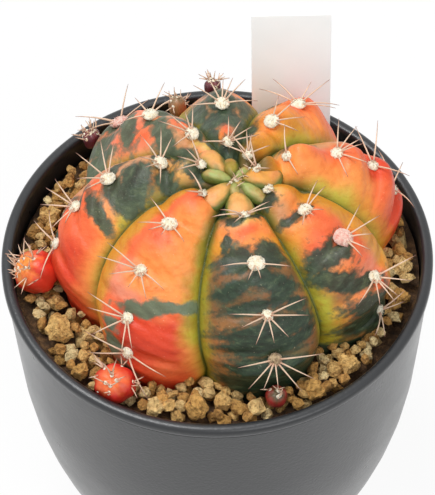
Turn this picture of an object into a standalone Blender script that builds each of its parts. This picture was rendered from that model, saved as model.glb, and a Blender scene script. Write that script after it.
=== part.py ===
# A variegated ribbed globe cactus with its offsets and spines, in a round plastic pot of gritty
# mix with a plant label. Metres, +Z up, origin under the middle of the pot on the surface it stands on.
import math

import bmesh
import bpy
from mathutils import Matrix, Vector, noise

MM = 0.001
GAP = 0.35 * MM  # kept between pieces that touch

# pot
RIM_RADIUS = 45.0 * MM
RIM_WIDTH = 2.4 * MM
RIM_HEIGHT = 2.2 * MM
POT_HEIGHT = 80.0 * MM
WALL = 1.6 * MM
WALL_TAPER = 0.062  # the wall draws in this much per unit of depth
BOWL_DEPTH = 30.0 * MM  # from here down the wall also curves in
BOWL_CURVE = 4.2  # per metre
FOOT_RADIUS = 28.0 * MM
FOOT_WIDTH = 3.2 * MM
FOOT_HEIGHT = 1.8 * MM
BASE_THICKNESS = 2.0 * MM
DRAIN_RADIUS = 2.6 * MM
DRAIN_RING = 15.0 * MM
DRAIN_COUNT = 6
FOOT_NOTCHES = 3
FOOT_NOTCH_WIDTH = 5.0 * MM
POT_SIDES = 64

# globe
GLOBE_X = 1.4 * MM
GLOBE_Y = 1.5 * MM
GLOBE_Z = POT_HEIGHT - 2.0 * MM  # its widest level
LEAN_X = 0.095  # sideways shift per unit of height
LEAN_Y = 0.048
CREST_RADIUS = 36.8 * MM
CREST_RISE = 25.1 * MM  # widest level to crown
CREST_DROP = 20.0 * MM  # widest level to the buried base
ROUND_OUT = 0.91  # exponents of the globe's rounded outline
ROUND_UP = 0.87
FURROW_DEPTH = 6.0 * MM
CHIN_HEIGHT = 0.7 * MM  # swelling of the crest under each areole
CHIN_SPAN = 0.3  # radians
TUCK_TOP = 10.0 * MM  # height above the widest level where the ribs begin to draw in
TUCK_BAND = 14.0 * MM
STEPS_PER_RIB = 8
CROWN_ANGLE = math.radians(86.0)
SHOULDER = 0.6  # radians above the widest level, where the rib azimuths are given

# One entry per rib: azimuth in degrees, drift toward the foot, how far the crest draws in at its
# foot, and the height angle in degrees of each areole down the crest.
RIBS = {
    "a": {"azimuth": -76.6, "drift": -0.07, "tuck": 0.04, "areoles": (75, 57, 37, 17)},
    "h": {"azimuth": -29.9, "drift": -0.02, "tuck": 0.04, "areoles": (79, 65, 48, 25, 4)},
    "g": {"azimuth": 18.2, "drift": 0.13, "tuck": 0.05, "areoles": (84, 73, 53, 33, 15)},
    "f": {"azimuth": 58.2, "drift": 0.09, "tuck": 0.15, "areoles": (82, 65, 42)},
    "e": {"azimuth": 93.1, "drift": 0.09, "tuck": 0.17, "areoles": (78, 52)},
    "d": {"azimuth": 130.3, "drift": -0.12, "tuck": 0.04, "areoles": (69, 46, 24)},
    "c": {"azimuth": 178.0, "drift": -0.43, "tuck": 0.09, "areoles": (80, 67, 48, 32, 16)},
    "b": {"azimuth": 229.3, "drift": -0.28, "tuck": 0.04, "areoles": (79, 64, 45, 26, 11)},
}
RIB_NAMES = list(RIBS)

# wool pads and spines
PAD_RADIUS = 1.25 * MM
PAD_HEIGHT = 1.0 * MM
LOW_AREOLE = 17  # degrees: an areole this near the mix keeps only its side spines
SPINE_ROOT = 0.34 * MM
# sideways and downward lean of each spine of a full set, and its length
SPINE_SET = (
    (-1.30, 0.10, 8.0),
    (-0.75, 0.85, 8.5),
    (0.05, 1.10, 7.0),
    (0.80, 0.80, 8.5),
    (1.30, 0.05, 8.0),
)
SPINE_LIFT = 0.85  # lean away from the skin
SPINE_STATIONS = ((0.45, 0.75), (0.55, 0.16))  # share of the length, share of the width
SPINE_REACH = 43.8 * MM  # no spine passes this distance from the pot's middle

# offsets: x, y and height of the middle above the rim in mm, radius, squash
OFFSETS = {
    "offset_left": (-36.9, -5.6, -0.4, 3.4, 1.0),
    "offset_front_left": (-21.0, -32.7, -1.4, 3.4, 0.95),
    "bud_front": (12.2, -36.2, -2.8, 2.2, 1.0),
    "bud_back_left": (-26.5, 28.4, 3.3, 2.4, 1.1),
    "bud_back": (-0.9, 36.2, 12.4, 1.8, 1.0),
    "bud_behind_crest": (-7.9, 35.2, 5.9, 1.9, 1.4),
}

# potting mix
MIX_LEVEL = POT_HEIGHT - 6.5 * MM
MIX_TILT = -0.03  # the front is higher than the back
MIX_LUMP = 0.9 * MM
MIX_LUMP_SIZE = 4.5 * MM
MIX_SKIRT = 2.0 * MM  # low margin round the globe
MIX_DIP = 0.6 * MM
HOLLOW_GAP = 0.6 * MM  # between the globe and the hollow that holds it

# large grains that lie loose on the mix: azimuth in degrees, distance from the middle and radius
GRAINS = (
    (-109, 39.0, 2.2),
    (-97, 37.6, 2.8),
    (-136, 39.4, 2.0),
    (-152, 36.9, 3.2),
    (161, 37.4, 3.0),
    (150, 38.6, 2.2),
    (108, 37.2, 2.9),
    (38, 38.0, 2.9),
    (-3, 38.8, 2.5),
    (-14, 39.2, 2.2),
    (-60, 38.2, 2.6),
    (-46, 38.3, 2.6),
)

# label
LABEL_X = 16.2 * MM
LABEL_Y = 34.1 * MM  # at the rim's level
LABEL_WIDTH = 16.8 * MM
LABEL_THICKNESS = 0.8 * MM
LABEL_ABOVE_RIM = 27.0 * MM
LABEL_LENGTH = 78.0 * MM
LABEL_POINT = 14.0 * MM
LABEL_LEAN = math.radians(14.0)
LABEL_CLEARANCE = 0.35 * MM

COLOURS = {
    "charcoal_plastic": ((0.045, 0.047, 0.052, 1), 0.55),
    "red_flesh": ((0.80, 0.22, 0.07, 1), 0.45),
    "green_flesh": ((0.62, 0.30, 0.08, 1), 0.45),
    "dark_flesh": ((0.20, 0.04, 0.05, 1), 0.45),
    "spine": ((0.83, 0.70, 0.55, 1), 0.6),
    "grit": ((0.42, 0.28, 0.13, 1), 0.9),
    "white_plastic": ((0.88, 0.88, 0.87, 1), 0.4),
}


def clearScene():
    for thing in list(bpy.data.objects):
        bpy.data.objects.remove(thing, do_unlink=True)


def material(name):
    made = bpy.data.materials.new(name)
    made.use_nodes = True
    shader = made.node_tree.nodes["Principled BSDF"]
    colour, roughness = COLOURS[name]
    shader.inputs["Base Color"].default_value = colour
    shader.inputs["Roughness"].default_value = roughness
    shader.inputs["Metallic"].default_value = 0.0
    return made


def addObject(name, mesh, colour, smooth=True):
    piece = bpy.data.objects.new(name, mesh)
    bpy.context.collection.objects.link(piece)
    if smooth:
        mesh.shade_smooth()
        mesh.set_sharp_from_angle(angle=math.radians(40))
    if colour not in bpy.data.materials:
        material(colour)
    mesh.materials.append(bpy.data.materials[colour])
    return piece


def meshFromRings(name, bottom, rings, top):
    """A closed skin through rings of equal count, with a pole point under and over them."""
    count = len(rings[0])
    points = [bottom] + [point for ring in rings for point in ring] + [top]
    last = len(points) - 1
    faces = []
    for i in range(count):
        j = (i + 1) % count
        faces.append((0, 1 + j, 1 + i))
        for k in range(len(rings) - 1):
            low = 1 + k * count
            high = low + count
            faces.append((low + i, low + j, high + j, high + i))
        high = 1 + (len(rings) - 1) * count
        faces.append((high + i, high + j, last))
    mesh = bpy.data.meshes.new(name)
    mesh.from_pydata([tuple(point) for point in points], [], faces)
    mesh.update()
    return mesh


def turnedRings(profile, sides):
    """One ring of points for each (radius, height) of the profile."""
    turns = [2 * math.pi * i / sides for i in range(sides)]
    return [[Vector((r * math.cos(a), r * math.sin(a), z)) for a in turns] for r, z in profile]


# ---- pot


def potOuterRadius(z):
    depth = POT_HEIGHT - z
    bowl = max(0.0, depth - BOWL_DEPTH)
    return RIM_RADIUS - 0.3 * MM - WALL_TAPER * depth - BOWL_CURVE * bowl**2


def potInnerRadius(z):
    return potOuterRadius(z) - WALL


def drainCutter():
    """Round holes through the base and notches through the foot, as one mesh."""
    work = bmesh.new()
    middle = FOOT_HEIGHT + BASE_THICKNESS / 2
    for i in range(DRAIN_COUNT):
        turn = 2 * math.pi * (i + 0.5) / DRAIN_COUNT
        place = Vector((DRAIN_RING * math.cos(turn), DRAIN_RING * math.sin(turn), middle))
        bmesh.ops.create_cone(
            work, cap_ends=True, segments=16, radius1=DRAIN_RADIUS, radius2=DRAIN_RADIUS,
            depth=3 * BASE_THICKNESS, matrix=Matrix.Translation(place),
        )
    for i in range(FOOT_NOTCHES):
        turn = Matrix.Rotation(2 * math.pi * (i + 0.5) / FOOT_NOTCHES, 4, "Z")
        place = Matrix.Translation((FOOT_RADIUS - FOOT_WIDTH / 2, 0, 0))
        size = Matrix.Diagonal((3 * FOOT_WIDTH, FOOT_NOTCH_WIDTH, 1.6 * FOOT_HEIGHT, 1))
        bmesh.ops.create_cube(work, size=1.0, matrix=turn @ place @ size)
    mesh = bpy.data.meshes.new("drain_cutter")
    work.to_mesh(mesh)
    work.free()
    cutter = bpy.data.objects.new("drain_cutter", mesh)
    bpy.context.collection.objects.link(cutter)
    cutter.hide_render = True
    cutter.display_type = "WIRE"
    return cutter


def buildPot():
    rimFoot = POT_HEIGHT - RIM_HEIGHT
    rimInner = RIM_RADIUS - RIM_WIDTH
    floor = FOOT_HEIGHT + BASE_THICKNESS
    outerLevels = [4.0 * MM, 10 * MM, 18 * MM, 28 * MM, 40 * MM, 54 * MM, 68 * MM]
    outer = [(potOuterRadius(z), z) for z in outerLevels]
    innerLevels = [74 * MM, 62 * MM, 50 * MM, 38 * MM, 26 * MM, 15 * MM, 8 * MM]
    inner = [(potInnerRadius(z), z) for z in innerLevels]
    shoulder = (potOuterRadius(rimFoot) - 0.1 * MM, rimFoot - 0.8 * MM)
    profile = [
        (FOOT_RADIUS - FOOT_WIDTH - 0.4 * MM, FOOT_HEIGHT),
        (FOOT_RADIUS - FOOT_WIDTH, 0.0),
        (FOOT_RADIUS, 0.0),
        (FOOT_RADIUS + 1.3 * MM, 1.0 * MM),
        *outer,
        shoulder,
        (potOuterRadius(rimFoot) - 0.5 * MM, rimFoot - 0.3 * MM),
        (RIM_RADIUS - 0.3 * MM, rimFoot),
        (RIM_RADIUS, rimFoot + 0.4 * MM),
        (RIM_RADIUS, POT_HEIGHT - 0.8 * MM),
        (RIM_RADIUS - 0.6 * MM, POT_HEIGHT - 0.15 * MM),
        (RIM_RADIUS - 1.2 * MM, POT_HEIGHT),
        (rimInner + 0.5 * MM, POT_HEIGHT - 0.15 * MM),
        (rimInner, POT_HEIGHT - 0.8 * MM),
        (rimInner, rimFoot),
        *inner,
        (potInnerRadius(8 * MM) - 4.0 * MM, floor + 0.6 * MM),
        (potInnerRadius(8 * MM) - 7.0 * MM, floor),
    ]
    rings = turnedRings(profile, POT_SIDES)
    mesh = meshFromRings("pot", Vector((0, 0, FOOT_HEIGHT)), rings, Vector((0, 0, floor)))
    pot = addObject("pot", mesh, "charcoal_plastic")
    drains = pot.modifiers.new("drains", "BOOLEAN")
    drains.operation = "DIFFERENCE"
    drains.object = drainCutter()
    return pot


# ---- globe


def crestProfile(t):
    """Radius and height above the widest level at height angle t."""
    rise = CREST_RISE if t >= 0 else CREST_DROP
    radius = CREST_RADIUS * max(math.cos(t), 0.0) ** ROUND_OUT
    return radius, math.copysign(rise * abs(math.sin(t)) ** ROUND_UP, t)


def profileNormal(t):
    """Outward direction of the profile, as (out, up)."""
    step = 0.01
    r0, z0 = crestProfile(t - step)
    r1, z1 = crestProfile(min(t + step, math.pi / 2))
    out, up = z1 - z0, r0 - r1
    size = math.hypot(out, up)
    return out / size, up / size


def ribAzimuth(index, t):
    rib = RIBS[RIB_NAMES[index % len(RIB_NAMES)]]
    lap = index // len(RIB_NAMES)
    drift = rib["drift"] * (max(t, 0.0) - SHOULDER)
    return math.radians(rib["azimuth"]) + drift + 2 * math.pi * lap


def smooth(x):
    x = min(max(x, 0.0), 1.0)
    return x * x * (3 - 2 * x)


def chin(rib, t):
    """Swelling under each areole that fades toward the next one down."""
    swell = 0.0
    for degrees in rib["areoles"]:
        below = math.radians(degrees) - t
        if 0.0 < below < CHIN_SPAN:
            swell = max(swell, math.sin(math.pi * below / CHIN_SPAN))
    return swell * CHIN_HEIGHT


def globePoint(index, across, t, lift=0.0):
    """Skin point: rib index, across from -1 to 1 between its furrows, height angle t."""
    rib = RIBS[RIB_NAMES[index % len(RIB_NAMES)]]
    here = ribAzimuth(index, t)
    beside = ribAzimuth(index + (1 if across > 0 else -1), t)
    azimuth = here + abs(across) * (beside - here) / 2
    radius, height = crestProfile(t)
    foot = smooth((TUCK_TOP - height) / TUCK_BAND)
    neighbour = RIBS[RIB_NAMES[(index + (1 if across > 0 else -1)) % len(RIB_NAMES)]]
    tuck = rib["tuck"] + (neighbour["tuck"] - rib["tuck"]) * abs(across) / 2
    radius *= 1 - tuck * foot
    depth = FURROW_DEPTH * math.cos(t) ** 0.7 * (1.0 if t > 0 else math.cos(t) ** 2)
    sharpness = 1.6 + 0.6 * max(math.sin(t), 0.0)
    inward = depth * abs(across) ** sharpness - chin(rib, t) * (1 - abs(across)) ** 2 - lift
    out, up = profileNormal(t)
    radius = max(radius - inward * out, 0.2 * MM)
    height -= inward * up
    x = GLOBE_X + LEAN_X * height + radius * math.cos(azimuth)
    y = GLOBE_Y + LEAN_Y * height + radius * math.sin(azimuth)
    return Vector((x, y, GLOBE_Z + height))


def globeRing(t, lift=0.0):
    ring = []
    for index in range(len(RIB_NAMES)):
        for k in range(STEPS_PER_RIB):
            across = 2 * k / STEPS_PER_RIB - 1
            ring.append(globePoint(index, across, t, lift))
    return ring


def poleAt(height):
    return Vector((GLOBE_X + LEAN_X * height, GLOBE_Y + LEAN_Y * height, GLOBE_Z + height))


def levelAngles(low, high, count):
    return [low + (high - low) * i / (count - 1) for i in range(count)]


BURIED = levelAngles(math.radians(-72), math.radians(-14), 5)
VISIBLE = levelAngles(math.radians(-6), CROWN_ANGLE, 17)


def buildGlobe():
    rings = [globeRing(t) for t in BURIED + VISIBLE]
    mesh = meshFromRings("globe", poleAt(-CREST_DROP), rings, poleAt(CREST_RISE - 1.2 * MM))
    return addObject("cactus_globe", mesh, "green_flesh")


# ---- wool pads and spines


def areoleFrame(index, degrees):
    """A matrix at the areole: Z out of the skin, Y down the crest, X across."""
    t = math.radians(degrees)
    here = globePoint(index, 0.0, t, GAP)
    above = globePoint(index, 0.0, t + 0.05, GAP)
    below = globePoint(index, 0.0, t - 0.05, GAP)
    down = (below - above).normalized()
    left = globePoint(index, -0.12, t, GAP)
    right = globePoint(index, 0.12, t, GAP)
    side = (left - right).normalized()
    out = side.cross(down).normalized()
    axis = poleAt(0.0)
    if out.dot(here - axis) < 0:
        out = -out
        side = -side
    down = out.cross(side).normalized()
    frame = Matrix((side, down, out)).transposed().to_4x4()
    frame.translation = here + out * 0.25 * MM
    return frame


def growSpine(work, frame, face, lean, length):
    """Insets one face of the pad and draws it out to a fine curved point."""
    bmesh.ops.inset_individual(work, faces=[face], thickness=0.05 * MM)
    middle = face.calc_center_median()
    rays = [(vert.co - middle).normalized() for vert in face.verts]
    for vert, ray in zip(face.verts, rays):
        vert.co = middle + ray * SPINE_ROOT
    direction = (frame.to_3x3() @ Vector(lean)).normalized()
    sag = frame.to_3x3() @ Vector((0, 0, -0.16))
    place = middle
    tip = face
    for share, width in SPINE_STATIONS:
        place = place + (direction + sag * share).normalized() * length * share
        tip = bmesh.ops.extrude_discrete_faces(work, faces=[tip])["faces"][0]
        for vert, ray in zip(tip.verts, rays):
            vert.co = place + ray * SPINE_ROOT * width


def spineLength(frame, lean, wanted):
    """Shortens a spine that would touch the pot's rim or pass over it."""
    direction = (frame.to_3x3() @ Vector(lean)).normalized()
    start = frame.translation
    limit = SPINE_REACH if start.z > POT_HEIGHT + 2 * MM else RIM_RADIUS - RIM_WIDTH - 1.5 * MM
    length = wanted
    while length > 2 * MM:
        end = start + direction * (length + PAD_RADIUS)
        if math.hypot(end.x, end.y) < limit:
            break
        length -= 0.5 * MM
    return length


def buildSpines(index, order, degrees):
    name = f"spines_{RIB_NAMES[index]}{order + 1}"
    frame = areoleFrame(index, degrees)
    work = bmesh.new()
    bmesh.ops.create_uvsphere(work, u_segments=7, v_segments=4, radius=1.0)
    shape = Matrix.Diagonal((PAD_RADIUS, PAD_RADIUS, PAD_HEIGHT / 2, 1))
    lift = Matrix.Translation((0, 0, PAD_HEIGHT / 2))
    bmesh.ops.transform(work, matrix=frame @ lift @ shape, verts=work.verts)
    work.normal_update()
    size = 0.65 + 0.35 * math.cos(math.radians(degrees))
    outward = frame.to_3x3() @ Vector((0, 0, 1))
    free = [face for face in work.faces if len(face.verts) == 4 and face.normal.dot(outward) > 0.1]
    roots = []
    for side, down, reach in SPINE_SET:
        if (order == 0 and abs(side) > 1) or (degrees < LOW_AREOLE and abs(side) < 1):
            continue
        lean = (side, down, SPINE_LIFT)
        direction = (frame.to_3x3() @ Vector(lean)).normalized()
        face = max(free, key=lambda candidate: candidate.normal.dot(direction))
        free.remove(face)
        roots.append((face, lean, spineLength(frame, lean, reach * size * MM)))
    for face, lean, length in roots:
        growSpine(work, frame, face, lean, length)
    mesh = bpy.data.meshes.new(name)
    work.to_mesh(mesh)
    work.free()
    addObject(name, mesh, "spine", smooth=False)


# ---- offsets, mix, grains, label


def buildOffset(name):
    x, y, above, radius, squash = OFFSETS[name]
    work = bmesh.new()
    large = name.startswith("offset")
    bmesh.ops.create_icosphere(work, subdivisions=3 if large else 2, radius=radius * MM)
    for vert in work.verts:
        turn = math.atan2(vert.co.y, vert.co.x)
        vert.co *= 1 + 0.05 * math.cos(6 * turn) * (1 - abs(vert.co.z) / (radius * MM))
        vert.co.z *= squash
    mesh = bpy.data.meshes.new(name)
    work.to_mesh(mesh)
    work.free()
    colour = "red_flesh" if large else "dark_flesh"
    piece = addObject(name, mesh, colour)
    piece.location = (x * MM, y * MM, POT_HEIGHT + above * MM)


def mixHeight(x, y):
    lump = noise.noise(Vector((x, y, 0)) / MIX_LUMP_SIZE)
    return MIX_LEVEL + MIX_TILT * y + MIX_LUMP * lump


def labelMesh(name, grow):
    """The label lying in its own frame: X across, Y through, Z up, tip at the bottom."""
    half = LABEL_WIDTH / 2 + grow
    thick = LABEL_THICKNESS / 2 + grow
    top = LABEL_ABOVE_RIM / math.cos(LABEL_LEAN)
    bottom = top - LABEL_LENGTH
    outline = [
        (-half, top + grow),
        (-half, bottom + LABEL_POINT),
        (-1.2 * MM - grow, bottom - grow),
        (1.2 * MM + grow, bottom - grow),
        (half, bottom + LABEL_POINT),
        (half, top + grow),
    ]
    work = bmesh.new()
    front = [work.verts.new((x, -thick, z)) for x, z in outline]
    face = work.faces.new(front)
    grown = bmesh.ops.extrude_face_region(work, geom=[face])
    back = [item for item in grown["geom"] if isinstance(item, bmesh.types.BMVert)]
    bmesh.ops.translate(work, vec=(0, 2 * thick, 0), verts=back)
    bmesh.ops.recalc_face_normals(work, faces=work.faces)
    mesh = bpy.data.meshes.new(name)
    work.to_mesh(mesh)
    work.free()
    return mesh


def placeLabel(piece):
    piece.location = (LABEL_X, LABEL_Y, POT_HEIGHT)
    piece.rotation_euler = (-LABEL_LEAN, 0, 0)


def buildLabel():
    placeLabel(addObject("plant_label", labelMesh("plant_label", 0.0), "white_plastic", smooth=False))


def buildMix():
    """The mix fills the pot, with a hollow the shape of the buried globe and a slot for the label."""
    hollow = [globeRing(t, HOLLOW_GAP) for t in BURIED]
    edge = hollow[-1]
    skirt = []
    middle = []
    wall = []
    for point in edge:
        turn = math.atan2(point.y, point.x)
        ray = Vector((math.cos(turn), math.sin(turn), 0))
        inner = math.hypot(point.x, point.y)
        outer = potInnerRadius(MIX_LEVEL) - GAP
        for ring, reach in ((skirt, inner + MIX_SKIRT), (middle, (inner + MIX_SKIRT + outer) / 2), (wall, outer)):
            spot = ray * reach
            spot.z = MIX_LEVEL - MIX_DIP if ring is skirt else mixHeight(spot.x, spot.y)
            ring.append(spot)
    sides = []
    for z in (62 * MM, 50 * MM, 36 * MM, 22 * MM, 9 * MM):
        turned = [Vector((p.x, p.y, 0)).normalized() * (potInnerRadius(z) - GAP) for p in wall]
        sides.append([Vector((p.x, p.y, z)) for p in turned])
    floor = FOOT_HEIGHT + BASE_THICKNESS + GAP
    base = [Vector((p.x, p.y, 0)).normalized() * (potInnerRadius(8 * MM) - 7.5 * MM) for p in wall]
    base = [Vector((p.x, p.y, floor)) for p in base]
    rings = [base] + sides[::-1] + [wall, middle, skirt] + hollow[::-1]
    top = poleAt(-CREST_DROP)
    top.z -= HOLLOW_GAP
    mesh = meshFromRings("potting_mix", Vector((0, 0, floor)), rings, top)
    mix = addObject("potting_mix", mesh, "grit", smooth=False)
    cutter = bpy.data.objects.new("label_cutter", labelMesh("label_cutter", LABEL_CLEARANCE))
    bpy.context.collection.objects.link(cutter)
    placeLabel(cutter)
    cutter.hide_render = True
    cutter.display_type = "WIRE"
    slot = mix.modifiers.new("label_slot", "BOOLEAN")
    slot.operation = "DIFFERENCE"
    slot.object = cutter


def buildGrain(number, degrees, reach, radius):
    work = bmesh.new()
    bmesh.ops.create_icosphere(work, subdivisions=2, radius=radius * MM)
    for vert in work.verts:
        rough = noise.noise(vert.co / (2.2 * MM) + Vector((7.0 * number, 0, 0)))
        vert.co *= 0.86 + 0.14 * rough
    lowest = min(vert.co.z for vert in work.verts)
    mesh = bpy.data.meshes.new(f"grain_{number:02d}")
    work.to_mesh(mesh)
    work.free()
    grain = addObject(f"grain_{number:02d}", mesh, "grit", smooth=False)
    x = reach * MM * math.cos(math.radians(degrees))
    y = reach * MM * math.sin(math.radians(degrees))
    under = []
    for i in range(12):
        turn = 2 * math.pi * i / 12
        under.append(mixHeight(x + radius * MM * math.cos(turn), y + radius * MM * math.sin(turn)))
    grain.location = (x, y, max(under) + GAP - lowest)


def main():
    clearScene()
    buildPot()
    buildMix()
    buildGlobe()
    for name in OFFSETS:
        buildOffset(name)
    for index, rib in enumerate(RIBS.values()):
        for order, degrees in enumerate(rib["areoles"]):
            buildSpines(index, order, degrees)
    for number, (degrees, reach, radius) in enumerate(GRAINS, start=1):
        buildGrain(number, degrees, reach, radius)
    buildLabel()


main()
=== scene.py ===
import math
import random

import bpy
import numpy as np
from mathutils import Matrix, Vector, noise
from mathutils.bvhtree import BVHTree


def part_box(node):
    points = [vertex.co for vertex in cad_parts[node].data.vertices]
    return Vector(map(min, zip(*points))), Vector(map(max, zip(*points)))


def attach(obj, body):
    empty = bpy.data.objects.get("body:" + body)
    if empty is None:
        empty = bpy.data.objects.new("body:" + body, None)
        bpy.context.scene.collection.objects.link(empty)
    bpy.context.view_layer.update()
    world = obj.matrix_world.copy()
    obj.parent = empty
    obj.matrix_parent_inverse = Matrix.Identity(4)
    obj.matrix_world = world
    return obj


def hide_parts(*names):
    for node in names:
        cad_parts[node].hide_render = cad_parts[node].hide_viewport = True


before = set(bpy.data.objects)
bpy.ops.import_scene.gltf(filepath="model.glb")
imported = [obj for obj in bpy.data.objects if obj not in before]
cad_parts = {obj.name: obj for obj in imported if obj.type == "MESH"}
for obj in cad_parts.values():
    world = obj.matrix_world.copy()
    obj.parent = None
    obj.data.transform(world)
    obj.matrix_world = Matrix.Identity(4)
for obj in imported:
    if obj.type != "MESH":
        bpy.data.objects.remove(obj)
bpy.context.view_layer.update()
print("frame loaded:", len(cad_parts), "solids")

mm = 0.001
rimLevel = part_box("pot")[1].z
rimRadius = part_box("pot")[1].x


def clearSelection():
    if bpy.context.mode != "OBJECT":
        bpy.ops.object.mode_set(mode="OBJECT")
    bpy.ops.object.select_all(action="DESELECT")


def smoothStep(x):
    x = np.clip(x, 0.0, 1.0)
    return x * x * (3 - 2 * x)


def fromScreen(red, green, blue):
    # an everyday 0-255 colour as the linear one a shader takes
    values = [c / 255 for c in (red, green, blue)]
    return tuple(c / 12.92 if c <= 0.04045 else ((c + 0.055) / 1.055) ** 2.4 for c in values)


def meshPiece(name, points, faces, smooth=True):
    mesh = bpy.data.meshes.new(name)
    mesh.from_pydata([tuple(p) for p in points], [], faces)
    mesh.update()
    piece = bpy.data.objects.new(name, mesh)
    bpy.context.collection.objects.link(piece)
    if smooth:
        mesh.shade_smooth()
    return piece


def applyPlace(piece):
    clearSelection()
    piece.select_set(True)
    bpy.context.view_layer.objects.active = piece
    bpy.ops.object.transform_apply(location=True, rotation=True, scale=True)


def keep(piece, slotName, *nodes):
    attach(piece, "root")
    if nodes:
        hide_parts(*nodes)


def pointValues(piece, name, values):
    layer = piece.data.attributes.new(name, "FLOAT", "POINT")
    layer.data.foreach_set("value", np.asarray(values, np.float32).ravel())


def pointColours(piece, name, values):
    layer = piece.data.attributes.new(name, "FLOAT_COLOR", "POINT")
    full = np.ones((len(piece.data.vertices), 4), np.float32)
    full[:, :3] = values
    layer.data.foreach_set("color", full.ravel())


def ballOf(rings, segments):
    # unit directions and faces of a closed ball with one point at each pole
    rays = [Vector((0, 0, 1))]
    for row in range(1, rings):
        polar = math.pi * row / rings
        for k in range(segments):
            turn = 2 * math.pi * k / segments
            rays.append(Vector((math.sin(polar) * math.cos(turn), math.sin(polar) * math.sin(turn), math.cos(polar))))
    rays.append(Vector((0, 0, -1)))
    faces = []
    last = len(rays) - 1
    low = 1 + (rings - 2) * segments
    for k in range(segments):
        j = (k + 1) % segments
        faces.append((0, 1 + k, 1 + j))
        for row in range(rings - 2):
            a, b = 1 + row * segments, 1 + (row + 1) * segments
            faces.append((a + k, b + k, b + j, a + j))
        faces.append((low + k, last, low + j))
    return rays, faces


def newMaterial(name):
    made = bpy.data.materials.new(name)
    made.use_nodes = True
    return made, made.node_tree, made.node_tree.nodes["Principled BSDF"]


def addNode(tree, kind, **settings):
    node = tree.nodes.new(kind)
    for key, value in settings.items():
        setattr(node, key, value)
    return node


def noiseOn(tree, scale, detail=4.0, rough=0.55, stretch=None):
    place = addNode(tree, "ShaderNodeTexCoord")
    grain = addNode(tree, "ShaderNodeTexNoise")
    grain.inputs["Scale"].default_value = scale
    grain.inputs["Detail"].default_value = detail
    grain.inputs["Roughness"].default_value = rough
    if stretch:
        mapping = addNode(tree, "ShaderNodeMapping")
        mapping.inputs["Scale"].default_value = stretch
        tree.links.new(place.outputs["Object"], mapping.inputs["Vector"])
        tree.links.new(mapping.outputs["Vector"], grain.inputs["Vector"])
    else:
        tree.links.new(place.outputs["Object"], grain.inputs["Vector"])
    return grain.outputs["Fac"]


def ramp(tree, source, stops):
    node = addNode(tree, "ShaderNodeValToRGB")
    while len(node.color_ramp.elements) < len(stops):
        node.color_ramp.elements.new(0.5)
    for element, (place, colour) in zip(node.color_ramp.elements, stops):
        element.position = place
        element.color = (*colour, 1.0) if len(colour) == 3 else colour
    tree.links.new(source, node.inputs["Fac"])
    return node.outputs["Color"]


def grey(value):
    return (value, value, value)


def blendColours(tree, share, first, second, mode="MIX"):
    node = addNode(tree, "ShaderNodeMix", data_type="RGBA", blend_type=mode)
    for socket, value in ((0, share), (6, first), (7, second)):
        if isinstance(value, (float, int)):
            node.inputs[socket].default_value = value
        elif isinstance(value, tuple):
            node.inputs[socket].default_value = (*value, 1.0)
        else:
            tree.links.new(value, node.inputs[socket])
    return node.outputs[2]


def sums(tree, operation, first, second, clamp=False):
    node = addNode(tree, "ShaderNodeMath", operation=operation, use_clamp=clamp)
    for socket, value in enumerate((first, second)):
        if isinstance(value, (float, int)):
            node.inputs[socket].default_value = value
        else:
            tree.links.new(value, node.inputs[socket])
    return node.outputs[0]


def bumpFrom(tree, height, distance, strength=1.0, below=None):
    node = addNode(tree, "ShaderNodeBump")
    node.inputs["Distance"].default_value = distance
    node.inputs["Strength"].default_value = strength
    tree.links.new(height, node.inputs["Height"])
    if below is not None:
        tree.links.new(below, node.inputs["Normal"])
    return node.outputs["Normal"]


potLook = {
    "height": 80.0,
    "sides": 160,
    "foot": 28.0,
    "footWidth": 3.2,
    "footHeight": 1.8,
    "base": 2.0,
    "wall": 1.6,
    "rimWidth": 2.4,
    "rimHeight": 2.2,
    "taper": 0.062,
    "bowlDepth": 30.0,
    "bowlCurve": 0.0042,
    "drains": 6,
    "drainRing": 15,
    "drainRadius": 2.6,
    "notches": 3,
    "notchRing": 26.4,
    "notchSize": (9.6, 5, 2.88),
    "colour": fromScreen(34, 36, 39),
    "roughness": 0.31,
    "specular": 0.34,
    "coat": 0.5,
    "coatRoughness": 0.34,
}


def potOutside(height):
    depth = potLook["height"] - height
    bowl = max(0.0, depth - potLook["bowlDepth"])
    return rimRadius / mm - 0.3 - potLook["taper"] * depth - potLook["bowlCurve"] * bowl**2


def potStations():
    rim = rimRadius / mm
    foot, footWidth, footHeight = potLook["foot"], potLook["footWidth"], potLook["footHeight"]
    rimFoot = potLook["height"] - potLook["rimHeight"]
    inside = rim - potLook["rimWidth"]
    floor = footHeight + potLook["base"]
    stations = [(foot - footWidth - 0.4, footHeight), (foot - footWidth, 0.3), (foot - footWidth + 0.3, 0.0)]
    stations += [(foot - 0.3, 0.0), (foot + 0.2, 0.2), (foot + 1.3, 1.0)]
    stations += [(potOutside(h), h) for h in (4, 7, 11, 16, 22, 29, 37, 46, 56, 66, 73)]
    stations += [(potOutside(rimFoot) - 0.05, rimFoot - 0.7), (potOutside(rimFoot) - 0.35, rimFoot - 0.25)]
    stations += [(rim - 0.35, rimFoot), (rim - 0.1, rimFoot + 0.12), (rim, rimFoot + 0.4)]
    stations += [(rim, 79.1), (rim - 0.12, 79.5), (rim - 0.4, 79.8), (rim - 0.8, 79.95), (rim - 1.2, 80.0)]
    stations += [(inside + 0.7, 79.95), (inside + 0.35, 79.8), (inside + 0.1, 79.5), (inside, 79.1), (inside, rimFoot)]
    stations += [(potOutside(h) - potLook["wall"], h) for h in (74, 62, 50, 38, 26, 15, 8)]
    bottom = potOutside(8) - potLook["wall"]
    stations += [(bottom - 4.0, floor + 0.6), (bottom - 7.0, floor)]
    return [(r * mm, h * mm) for r, h in stations]


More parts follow.
